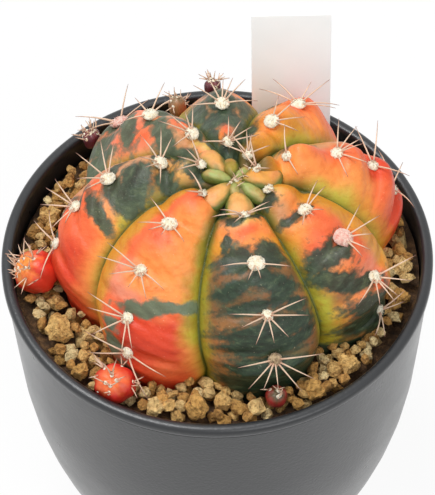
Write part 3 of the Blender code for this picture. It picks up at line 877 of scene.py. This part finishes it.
def areoleFrame(index, degrees):
    t = math.radians(degrees)
    here = Vector(skinPoint(index, 0.0, t))
    down = (Vector(skinPoint(index, 0.0, t - 0.06)) - Vector(skinPoint(index, 0.0, t + 0.06))).normalized()
    side = (Vector(skinPoint(index, -0.12, t)) - Vector(skinPoint(index, 0.12, t))).normalized()
    out = side.cross(down).normalized()
    if out.dot(here - Vector(globePole(0.0))) < 0:
        out = -out
        side = -side
    down = out.cross(side).normalized()
    place = Matrix((side, down, out)).transposed().to_4x4()
    place.translation = here
    return place


class Bundle:
    # collects points, faces and a value per point for one piece
    def __init__(self):
        self.points, self.faces, self.values, self.marks = [], [], [], []

    def add(self, points, faces, values, mark):
        start = len(self.points)
        self.points += [tuple(p) for p in points]
        self.faces += [tuple(start + i for i in face) for face in faces]
        self.values += list(values)
        self.marks += [mark] * len(faces)

    def piece(self, name, materials):
        made = meshPiece(name, self.points, self.faces)
        pointValues(made, "along", self.values)
        for material in materials:
            made.data.materials.append(material)
        made.data.polygons.foreach_set("material_index", self.marks)
        return made


def tube(bundle, line, radii, sides, mark, values):
    # a closed tapered tube along a line of points
    points, shades, faces = [], [], []
    guide = Vector((0.3, 0.5, 0.81))
    for i, spot in enumerate(line):
        ahead = (line[min(i + 1, len(line) - 1)] - line[max(i - 1, 0)]).normalized()
        first = ahead.cross(guide).normalized()
        second = ahead.cross(first)
        for k in range(sides):
            turn = 2 * math.pi * k / sides
            points.append(spot + (first * math.cos(turn) + second * math.sin(turn)) * radii[i])
            shades.append(values[i])
    for i in range(len(line) - 1):
        for k in range(sides):
            j = (k + 1) % sides
            faces.append((i * sides + k, (i + 1) * sides + k, (i + 1) * sides + j, i * sides + j))
    last = (len(line) - 1) * sides
    faces.append(tuple(range(sides)))
    faces.append(tuple(last + k for k in reversed(range(sides))))
    bundle.add(points, faces, shades, mark)


def spine(bundle, place, side, down, lift, length, bend, root, mark, chance):
    turnFrame = place.to_3x3()
    lean = (turnFrame @ Vector((side, down, lift))).normalized()
    droop = turnFrame @ Vector((chance.uniform(-0.15, 0.15), chance.uniform(-0.1, 0.25), -0.75)) * bend
    start = place.translation + turnFrame @ Vector((side * 0.28, down * 0.28, 0.5)) * mm
    count = spineLook["stations"]
    line, radii, values = [], [], []
    for i in range(count):
        s = i / (count - 1)
        line.append(start + (lean * s + droop * s * s * 0.5) * length * mm)
        radii.append((root * (1 - s) ** 0.75 + spineLook["tip"] * s) * mm)
        values.append(s)
    tube(bundle, line, radii, spineLook["sides"], mark, values)


def woolBall(bundle, place, radius, height, mark, chance, segments=14, rings=8):
    rays, faces = ballOf(rings, segments)
    shift = Vector((chance.random() * 50, chance.random() * 50, 0))
    points = []
    for ray in rays:
        rough = 1 + 0.16 * noise.noise(ray * 2.2 + shift) + 0.1 * noise.noise(ray * 5 + shift)
        points.append(place @ (Vector((ray.x * radius, ray.y * radius, (ray.z * 0.5 + 0.32) * height)) * rough * mm))
    bundle.add(points, faces, [0.0] * len(points), mark)


def woolFibres(bundle, place, radius, height, count, length, mark, chance):
    for _ in range(count):
        turn = chance.uniform(0, 2 * math.pi)
        polar = math.acos(chance.uniform(-0.1, 1.0))
        ray = Vector((math.sin(polar) * math.cos(turn), math.sin(polar) * math.sin(turn), math.cos(polar)))
        start = Vector((ray.x * radius * 0.9, ray.y * radius * 0.9, (ray.z * 0.5 + 0.32) * height))
        kink = Vector([chance.uniform(-0.6, 0.6) for _ in range(3)])
        tip = start + (ray + kink).normalized() * length * chance.uniform(0.5, 1.2)
        middle = (start + tip) / 2 + kink * 0.12
        line = [place @ (p * mm) for p in (start, middle, tip)]
        tube(bundle, line, [0.07 * mm, 0.055 * mm, 0.02 * mm], 3, mark, [0.0, 0.0, 0.0])


def spineMaterial():
    made, tree, shader = newMaterial("spineHorn")
    along = addNode(tree, "ShaderNodeAttribute", attribute_name="along").outputs["Fac"]
    stops = ((0.0, spineLook["base"]), (0.25, spineLook["shaft"]), (0.7, spineLook["shaft"]), (1.0, spineLook["point"]))
    colour = ramp(tree, along, stops)
    fleck = noiseOn(tree, 900.0, 3.0)
    shade = ramp(tree, fleck, ((0.3, grey(0.82)), (0.7, grey(1.0))))
    tree.links.new(blendColours(tree, 1.0, colour, shade, "MULTIPLY"), shader.inputs["Base Color"])
    shader.inputs["Roughness"].default_value = spineLook["roughness"]
    return made


def woolMaterial(name, light, dark):
    made, tree, shader = newMaterial(name)
    tuft = noiseOn(tree, 1400.0, 4.0, 0.7)
    tree.links.new(ramp(tree, tuft, ((0.32, dark), (0.6, light))), shader.inputs["Base Color"])
    shader.inputs["Roughness"].default_value = 0.9
    shader.inputs["Sheen Weight"].default_value = 0.35
    tree.links.new(bumpFrom(tree, tuft, 0.0006, 0.9), shader.inputs["Normal"])
    return made


creamWool = woolMaterial("creamWool", fromScreen(255, 250, 230), fromScreen(246, 226, 186))
pinkWool = woolMaterial("pinkWool", fromScreen(252, 222, 206), fromScreen(232, 140, 120))
brownWool = woolMaterial("brownWool", fromScreen(206, 180, 140), fromScreen(124, 92, 60))
spineHorn = spineMaterial()

# areoles that differ from the plain cream ones: wool and size
oddWool = {
    "h3": (pinkWool, 1.3),
    "d3": (pinkWool, 1.15),
    "a2": (creamWool, 1.15),
    "b1": (creamWool, 0.8),
    "b2": (creamWool, 1.1),
    "g3": (creamWool, 0.85),
    "g4": (creamWool, 0.75),
    "a4": (brownWool, 0.8),
    "h5": (creamWool, 0.6),
    "f2": (creamWool, 1.05),
    "f3": (creamWool, 0.95),
    "b3": (creamWool, 0.8),
    "b4": (creamWool, 0.7),
    "b5": (creamWool, 0.7),
    "c4": (creamWool, 0.8),
    "c5": (creamWool, 0.7),
    "a3": (creamWool, 0.7),
    "h4": (creamWool, 0.8),
    "e1": (creamWool, 1.0),
    "g1": (creamWool, 0.8),
}


def spineRoom(place, side, down, lift, length):
    # keeps a spine inside the pot's rim
    lean = (place.to_3x3() @ Vector((side, down, lift))).normalized()
    start = place.translation
    limit = rimRadius + 0.5 * mm if start.z > rimLevel + 2 * mm else rimRadius - 3.6 * mm
    while length > 2.0:
        end = start + lean * (length + 1) * mm
        if math.hypot(end.x, end.y) < limit:
            break
        length -= 0.5
    return length


def buildAreoles():
    chance = random.Random(11)
    for index, name in enumerate(ribNames):
        for order, degrees in enumerate(ribs[name][3]):
            key = f"{name}{order + 1}"
            wool, size = oddWool.get(key, (creamWool, 1.0))
            place = areoleFrame(index, degrees)
            bundle = Bundle()
            young = 0.72 + 0.28 * math.cos(math.radians(degrees)) if degrees < 72 else 0.62
            radius, height = woolLook["radius"] * size * young, woolLook["height"] * size * young
            woolBall(bundle, place, radius, height, 0, chance)
            woolFibres(bundle, place, radius, height, woolLook["fibres"], woolLook["fibreLength"], 0, chance)
            for side, down, length, bend in spineSet:
                if chance.random() < (0.5 if degrees > 72 else 0.22):
                    continue
                if degrees < 17 and abs(side) < 0.7:
                    continue
                side += chance.uniform(-0.15, 0.15)
                down += chance.uniform(-0.2, 0.2)
                lift = spineLook["lift"] * chance.uniform(0.6, 1.35)
                grown = 0.62 + 0.38 * math.cos(math.radians(degrees))
                length = spineRoom(place, side, down, lift, length * grown * chance.uniform(0.82, 1.15))
                bend *= chance.uniform(0.4, 1.3)
                spine(bundle, place, side, down, lift, length, bend, spineLook["root"], 1, chance)
            piece = bundle.piece(f"areole_{key}", (wool, spineHorn))
            keep(piece, "spines_and_wool", f"spines_{key}")
    print("areoles set")


offsetLook = {
    "offset_left": {
        "size": (1.22, 1.22, 1.3),
        "shift": (-0.6, 1.0, 0.9),
        "outward": 1.0,
        "tubercles": 6,
        "swell": 0.12,
        "spines": 17,
        "length": 4.4,
        "warm": fromScreen(220, 56, 34),
        "pale": fromScreen(244, 146, 60),
    },
    "offset_front_left": {
        "size": (1.1, 1.1, 1.16),
        "shift": (0.0, 0.4, 0.7),
        "outward": 0.5,
        "tubercles": 6,
        "swell": 0.12,
        "spines": 15,
        "length": 4.0,
        "warm": fromScreen(212, 48, 36),
        "pale": fromScreen(240, 116, 60),
    },
    "bud_front": {
        "shift": (-0.8, 0.8, 1.0),
        "tubercles": 5,
        "swell": 0.1,
        "spines": 5,
        "length": 1.8,
        "warm": fromScreen(158, 48, 44),
        "pale": fromScreen(88, 72, 40),
    },
    "bud_back_left": {
        "size": (0.84, 0.84, 0.84),
        "shift": (0.3, 0.0, 0.3),
        "tubercles": 6,
        "swell": 0.14,
        "spines": 12,
        "length": 2.6,
        "warm": fromScreen(92, 34, 44),
        "pale": fromScreen(128, 60, 60),
    },
    "bud_back": {
        "shift": (0.6, -0.4, -1.2),
        "tubercles": 5,
        "swell": 0.12,
        "spines": 8,
        "length": 2.2,
        "warm": fromScreen(86, 30, 40),
        "pale": fromScreen(120, 60, 60),
    },
    "bud_behind_crest": {
        "tubercles": 5,
        "swell": 0.12,
        "spines": 8,
        "length": 2.4,
        "warm": fromScreen(178, 132, 96),
        "pale": fromScreen(132, 112, 80),
    },
}


def offsetMaterial(name, look):
    made, tree, shader = newMaterial(name + "Skin")
    crown = addNode(tree, "ShaderNodeAttribute", attribute_name="along").outputs["Fac"]
    blotch = noiseOn(tree, 420.0, 4.0)
    share = sums(tree, "ADD", crown, sums(tree, "MULTIPLY", sums(tree, "SUBTRACT", blotch, 0.5), 0.9), True)
    colour = ramp(tree, share, ((0.42, look["warm"]), (0.85, look["pale"])))
    tree.links.new(colour, shader.inputs["Base Color"])
    shader.inputs["Roughness"].default_value = 0.38
    shader.inputs["Subsurface Weight"].default_value = 0.1
    shader.inputs["Subsurface Radius"].default_value = (1.0, 0.35, 0.2)
    shader.inputs["Subsurface Scale"].default_value = 0.001
    tree.links.new(bumpFrom(tree, noiseOn(tree, 1300.0, 3.0), 0.0002, 0.6), shader.inputs["Normal"])
    return made


def buildOffset(name):
    look = offsetLook[name]
    chance = random.Random(name)
    low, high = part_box(name)
    middle, half = (low + high) / 2 + Vector(look.get("shift", (0, 0, 0))) * mm, (high - low) / 2
    half = Vector([a * b for a, b in zip(half, look.get("size", (1, 1, 1)))])
    away = Vector((middle.x, middle.y, 0)).normalized()
    grows = (away * look.get("outward", 0.35) + Vector((0, 0, 1))).normalized()
    tilt = grows.to_track_quat("Z", "Y").to_matrix().to_4x4()
    bundle = Bundle()
    wall = rimRadius - 2.8 * mm
    points, values = [], []
    rays, faces = ballOf(28, 56)
    for ray in rays:
        polar, turn = math.acos(ray.z), math.atan2(ray.y, ray.x)
        ribbed = abs(math.cos(look["tubercles"] * turn / 2)) ** 0.8 * math.sin(polar) ** 0.7
        lump = math.cos(5.5 * polar + 0.5) * 0.25
        grow = 1.08 + look["swell"] * (ribbed - 0.6) + look["swell"] * lump * math.sin(polar)
        dent = 0.10 * math.exp(-((polar / 0.35) ** 2))
        spot = tilt @ (ray * (grow - dent))
        point = middle + Vector((spot.x * half.x, spot.y * half.y, spot.z * half.z))
        reach = math.hypot(point.x, point.y)
        if reach > wall and point.z < rimLevel + 0.6 * mm:  # pressed against the pot
            point.x, point.y = point.x * wall / reach, point.y * wall / reach
        points.append(point)
        values.append(math.cos(polar) * 0.75 + 0.25 * (1 - ribbed))
    bundle.add(points, faces, values, 0)
    for i in range(look["spines"]):
        turn = 2 * math.pi * (i + chance.random() * 0.6) / look["spines"] * 3
        polar = chance.uniform(0.2, 1.35)
        ray = Vector((math.sin(polar) * math.cos(turn), math.sin(polar) * math.sin(turn), math.cos(polar)))
        spot = tilt @ ray
        skin = middle + Vector((spot.x * half.x, spot.y * half.y, spot.z * half.z)) * 0.98
        place = spot.to_track_quat("Z", "Y").to_matrix().to_4x4()
        place.translation = skin
        woolBall(bundle, place, 0.42, 0.5, 1, chance, 8, 5)
        for _ in range(2):
            lean = (chance.uniform(-1, 1), chance.uniform(-1, 1))
            length = spineRoom(place, lean[0], lean[1], 1.1, look["length"] * chance.uniform(0.6, 1.1))
            tip = skin + (place.to_3x3() @ Vector((lean[0], lean[1], 1.1))).normalized() * length * mm
            if tip.z < rimLevel + 1.5 * mm and math.hypot(tip.x, tip.y) > wall:
                continue
            spine(bundle, place, lean[0], lean[1], 1.1, length, 0.3, 0.16, 2, chance)
    piece = bundle.piece(name + "_plant", (offsetMaterial(name, look), creamWool, spineHorn))
    keep(piece, "offset_skin" if name.startswith("offset") else "bud_skin", name)


gritLook = {
    "seed": 5,
    "tries": 11040,  # places looked at; most are taken or too high
    "kinds": 24,
    "small": 1.25,
    "large": 3.0,
    "inner": 26.0,  # nothing is poured nearer the middle than this
    "wallGap": 4.3,
    "highest": 1.2,  # mm the grains keep below the rim
    "crowd": 4,  # a grain resting on more than this many is left out
    "heroes": 12,
    "heroSize": 1.06,
    "tints": (
        fromScreen(234, 188, 116),
        fromScreen(216, 164, 90),
        fromScreen(240, 202, 136),
        fromScreen(198, 146, 78),
        fromScreen(246, 218, 160),
        fromScreen(206, 154, 86),
    ),
}


def chipOf(chance, fine):
    # an angular grain: a ball clipped by planes
    clearSelection()
    bpy.ops.mesh.primitive_ico_sphere_add(subdivisions=3 if fine else 2, radius=1.0, location=(0, 0, 0))
    ball = bpy.context.object
    if not fine:  # the poured grains are many, so each has only 48 faces
        bpy.ops.object.modifier_add(type="DECIMATE")
        ball.modifiers["Decimate"].ratio = 0.6
        bpy.ops.object.modifier_apply(modifier="Decimate")
    points = np.array([v.co for v in ball.data.vertices])
    faces = [tuple(p.vertices) for p in ball.data.polygons]
    bpy.data.objects.remove(ball, do_unlink=True)
    for _ in range(13 if fine else 9):
        ray = Vector((chance.gauss(0, 1), chance.gauss(0, 1), chance.gauss(0, 1))).normalized()
        cut = chance.uniform(0.62, 0.9)
        over = points @ np.array(ray) - cut
        points = points - np.outer(np.maximum(over, 0), np.array(ray))
    shift = Vector((chance.random() * 90, 0, 0))
    rough = []
    for p in points:
        knobs = 0.3 * noise.noise(Vector(p) * 1.5 + shift)
        rough.append(1 + knobs + 0.24 * noise.noise(Vector(p) * 3.4 + shift))
    rough = np.array(rough)
    points = points * rough[:, None] * np.array([1.0, chance.uniform(0.7, 0.95), chance.uniform(0.6, 0.85)])
    return points, faces


def gritMaterial():
    made, tree, shader = newMaterial("pumiceGrit")
    tint = addNode(tree, "ShaderNodeAttribute", attribute_name="tint").outputs["Color"]
    poresAndGlints = noiseOn(tree, 1100.0, 5.0, 0.7)
    stain = noiseOn(tree, 420.0, 4.0, 0.6)
    # painted shade and highlights: the dark stop is partly real pores and partly painted shade in crevices, and the
    # stop above 1 brightens the tint into painted highlights
    shade = ramp(tree, poresAndGlints, ((0.32, (0.36, 0.26, 0.14)), (0.46, (0.95, 0.95, 0.92)), (0.6, (1.3, 1.34, 1.38))))
    colour = blendColours(tree, 1.0, tint, shade, "MULTIPLY")
    rust = ramp(tree, stain, ((0.5, grey(0.0)), (0.68, grey(0.5))))
    colour = blendColours(tree, rust, colour, fromScreen(204, 150, 76))
    tree.links.new(colour, shader.inputs["Base Color"])
    shader.inputs["Roughness"].default_value = 0.92
    coarse = bumpFrom(tree, stain, 0.0018, 1.0)
    tree.links.new(bumpFrom(tree, poresAndGlints, 0.0012, 1.0, coarse), shader.inputs["Normal"])
    return made


def bedMaterial():
    made, tree, shader = newMaterial("darkMix")
    crumb = noiseOn(tree, 620.0, 6.0, 0.7)
    stops = ((0.3, fromScreen(46, 34, 24)), (0.52, fromScreen(92, 66, 42)), (0.72, fromScreen(150, 112, 72)))
    tree.links.new(ramp(tree, crumb, stops), shader.inputs["Base Color"])
    shader.inputs["Roughness"].default_value = 0.95
    tree.links.new(bumpFrom(tree, crumb, 0.0016, 1.0), shader.inputs["Normal"])
    return made


def treeOf(name):
    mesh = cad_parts[name].data
    return BVHTree.FromPolygons([v.co.copy() for v in mesh.vertices], [tuple(p.vertices) for p in mesh.polygons])


def buildGrit():
    chance = random.Random(gritLook["seed"])
    ground = treeOf("potting_mix")
    keepOff = [treeOf(n) for n in ("cactus_globe", "plant_label", "offset_left", "offset_front_left", "bud_front")]
    heroes = [f"grain_{i:02d}" for i in range(1, gritLook["heroes"] + 1)]
    placed = []  # x, y, z, radius
    grit = gritMaterial()
    for node in heroes:
        low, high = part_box(node)
        middle, half = (low + high) / 2, (high - low) / 2
        points, faces = chipOf(chance, True)
        span = (points.max(0) - points.min(0)) / 2
        centred = points - (points.max(0) + points.min(0)) / 2
        points = centred / span * np.array(half) * gritLook["heroSize"] + np.array(middle)
        piece = meshPiece(node + "_stone", points, faces, smooth=False)
        tint = chance.choice(gritLook["tints"][:3])
        pointColours(piece, "tint", np.tile(tint, (len(points), 1)))
        piece.data.materials.append(grit)
        keep(piece, "grit", node)
        placed.append((middle.x, middle.y, middle.z, max(half.x, half.y)))
    kinds = [chipOf(chance, False) for _ in range(gritLook["kinds"])]
    allPoints, allFaces, allTints = [], [], []
    highest = rimLevel - gritLook["highest"] * mm
    wall = rimRadius - gritLook["wallGap"] * mm
    for _ in range(gritLook["tries"]):
        share = chance.random() ** 1.1
        radius = (gritLook["small"] + (gritLook["large"] - gritLook["small"]) * share) * mm
        turn = chance.uniform(0, 2 * math.pi)
        reach = math.sqrt(chance.uniform((gritLook["inner"] * mm) ** 2, (wall - radius * 0.6) ** 2))
        x, y = reach * math.cos(turn), reach * math.sin(turn)
        hit = ground.ray_cast(Vector((x, y, rimLevel + 0.05)), Vector((0, 0, -1)))
        if hit[0] is None or hit[0].z < rimLevel - 14 * mm:
            continue
        z = hit[0].z + radius * 0.35
        overlap = 0
        for px, py, pz, pr in placed:
            gap = math.hypot(px - x, py - y)
            if gap < (pr + radius) * 0.8:
                rest = pz + math.sqrt(max(0.0, ((pr + radius) * 0.68) ** 2 - gap**2))
                if rest > z:
                    z = rest
                    overlap += 1
        if z + radius * 0.8 > highest or overlap > gritLook["crowd"]:
            continue
        spot = Vector((x, y, z))
        found = [tree.find_nearest(spot) for tree in keepOff]
        near = min(hit[3] for hit in found)
        inside = any((spot - hit[0]).dot(hit[1]) < 0 for hit in found)
        if inside or near < radius * 0.72:
            continue
        placed.append((x, y, z, radius))
        points, faces = kinds[chance.randrange(len(kinds))]
        spin = Matrix.Rotation(chance.uniform(0, 6.28), 3, "Z") @ Matrix.Rotation(chance.uniform(-0.7, 0.7), 3, "X")
        turned = points @ np.array(spin).T * radius + np.array(spot)
        start = len(allPoints) * len(points)
        allPoints.append(turned)
        allFaces += [tuple(start + i for i in face) for face in faces]
        tint = np.array(chance.choice(gritLook["tints"])) * chance.uniform(0.8, 1.08)
        allTints.append(np.tile(tint, (len(points), 1)))
    heap = meshPiece("grit_heap", np.concatenate(allPoints), allFaces, smooth=False)
    pointColours(heap, "tint", np.concatenate(allTints))
    heap.data.materials.append(grit)
    keep(heap, "grit")
    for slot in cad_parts["potting_mix"].material_slots:
        slot.material = bedMaterial()
    print("grit poured:", len(allPoints), "grains")


labelLook = {
    "lean": 14.0,
    "x": 16.4,
    "y": 34.1,
    "width": 16.8,
    "tipWidth": 2.4,
    "thick": 0.8,
    "above": 27.9,  # over the rim
    "length": 78.0,
    "point": 14.0,
    "edge": 0.18,
    "clear": fromScreen(243, 247, 246),
    "cloudy": fromScreen(250, 253, 252),
}


def labelMaterial():
    made, tree, shader = newMaterial("labelPlastic")
    cloud = noiseOn(tree, 60.0, 3.0)
    colour = ramp(tree, cloud, ((0.3, labelLook["clear"]), (0.7, labelLook["cloudy"])))
    tree.links.new(colour, shader.inputs["Base Color"])
    shader.inputs["Roughness"].default_value = 0.35
    tree.links.new(bumpFrom(tree, noiseOn(tree, 700.0, 3.0), 0.00004, 0.6), shader.inputs["Normal"])
    return made


def buildLabel():
    look = labelLook
    lean = math.radians(look["lean"])
    top = look["above"] / math.cos(lean)
    bottom = top - look["length"]
    straight = look["length"] - look["point"]
    clearSelection()
    middle = (top + bottom + look["point"]) / 2
    scale = (look["width"] * mm, look["thick"] * mm, straight * mm)
    bpy.ops.mesh.primitive_cube_add(size=1, location=(0, 0, middle * mm), scale=scale)
    label = bpy.context.object
    label.name = "bare_label"
    bpy.ops.object.transform_apply(location=True, rotation=True, scale=True)
    bpy.ops.object.mode_set(mode="EDIT")
    bpy.ops.mesh.select_mode(type="FACE")
    bpy.ops.mesh.select_all(action="DESELECT")
    bpy.ops.object.mode_set(mode="OBJECT")
    for face in label.data.polygons:
        face.select = face.normal.z < -0.9
    bpy.ops.object.mode_set(mode="EDIT")
    bpy.ops.mesh.extrude_region_move(TRANSFORM_OT_translate={"value": (0, 0, -look["point"] * mm)})
    share = look["tipWidth"] / look["width"]
    bpy.ops.transform.resize(value=(share, 1, 1), center_override=(0, 0, bottom * mm))
    bpy.ops.object.mode_set(mode="OBJECT")
    soft = label.modifiers.new("soft", "BEVEL")
    soft.width = look["edge"] * mm
    soft.segments = 2
    bpy.ops.object.modifier_apply(modifier=soft.name)
    label.location = (look["x"] * mm, look["y"] * mm, rimLevel)
    label.rotation_euler = (-lean, 0, 0)
    applyPlace(label)
    bpy.ops.object.shade_smooth_by_angle(angle=math.radians(30))
    label.data.materials.append(labelMaterial())
    keep(label, "label_plastic", "plant_label")
    print("label set")


studio = {
    "distance": 0.600,
    "elevation": 52.578,
    "roll": -0.992,
    "lens": 209.43,
    "shift": (0.00085, 0.0101),
    "world": 0.5,
    "key": ((-0.28, 0.12, 1.0), 0.5, 6.6),  # place, size, watts
    "fill": ((0.35, -0.6, 0.75), 0.6, 2.6),
    "aim": (0, 0, 0.09),
    "floor": 0.92,
}


def areaLamp(name, place, size, power):
    data = bpy.data.lights.new(name, "AREA")
    data.shape = "DISK"
    data.size = size
    data.energy = power
    lamp = bpy.data.objects.new(name, data)
    bpy.context.collection.objects.link(lamp)
    lamp.location = place
    lamp.rotation_euler = (Vector(studio["aim"]) - Vector(place)).to_track_quat("-Z", "Y").to_euler()


def buildStudio():
    scene = bpy.context.scene
    elevation = math.radians(studio["elevation"])
    data = bpy.data.cameras.new("camera")
    camera = bpy.data.objects.new("camera", data)
    bpy.context.collection.objects.link(camera)
    aim = Vector((0, 0, rimLevel))
    back = Vector((0, -math.cos(elevation), math.sin(elevation)))
    camera.rotation_mode = "QUATERNION"
    turn = (-back).to_track_quat("-Z", "Y") @ Matrix.Rotation(math.radians(studio["roll"]), 4, "Z").to_quaternion()
    camera.rotation_quaternion = turn
    camera.location = aim + back * studio["distance"]
    data.sensor_width = 36.0
    data.lens = studio["lens"]
    data.shift_x, data.shift_y = studio["shift"]
    data.clip_start = 0.01
    data.clip_end = 20
    scene.camera = camera

    world = bpy.data.worlds.new("softBox")
    scene.world = world
    world.use_nodes = True
    tree = world.node_tree
    background = tree.nodes["Background"]
    background.inputs["Color"].default_value = (1, 1, 1, 1)
    background.inputs["Strength"].default_value = studio["world"]
    seen = addNode(tree, "ShaderNodeBackground")
    seen.inputs["Color"].default_value = (1, 1, 1, 1)
    seen.inputs["Strength"].default_value = 1.0
    rays = addNode(tree, "ShaderNodeLightPath")
    both = addNode(tree, "ShaderNodeMixShader")
    share = sums(tree, "MAXIMUM", rays.outputs["Is Camera Ray"], rays.outputs["Is Glossy Ray"])
    tree.links.new(share, both.inputs[0])
    tree.links.new(background.outputs[0], both.inputs[1])
    tree.links.new(seen.outputs[0], both.inputs[2])
    tree.links.new(both.outputs[0], tree.nodes["World Output"].inputs["Surface"])

    clearSelection()
    bpy.ops.mesh.primitive_plane_add(size=6, location=(0, 0, 0))
    floor = bpy.context.object
    floor.name = "floor"
    made, tree, shader = newMaterial("paleFloor")
    shader.inputs["Base Color"].default_value = (0.9, 0.9, 0.9, 1)
    shader.inputs["Roughness"].default_value = 1.0
    glow = addNode(tree, "ShaderNodeEmission")
    glow.inputs["Strength"].default_value = 1.0
    rays = addNode(tree, "ShaderNodeLightPath")
    both = addNode(tree, "ShaderNodeMixShader")
    share = sums(tree, "MAXIMUM", rays.outputs["Is Camera Ray"], rays.outputs["Is Glossy Ray"])
    share = sums(tree, "MULTIPLY", share, studio["floor"])
    tree.links.new(share, both.inputs[0])
    tree.links.new(shader.outputs[0], both.inputs[1])
    tree.links.new(glow.outputs[0], both.inputs[2])
    tree.links.new(both.outputs[0], tree.nodes["Material Output"].inputs["Surface"])
    floor.data.materials.append(made)

    areaLamp("keyLamp", *studio["key"])
    areaLamp("fillLamp", *studio["fill"])
    scene.view_settings.view_transform = "Standard"
    print("studio lit")


buildStudio()
buildPot()
globe = buildGlobe()
buildCrown(globe.data.materials[0])
buildAreoles()
for offsetName in offsetLook:
    buildOffset(offsetName)
print("offsets set")
buildGrit()
buildLabel()
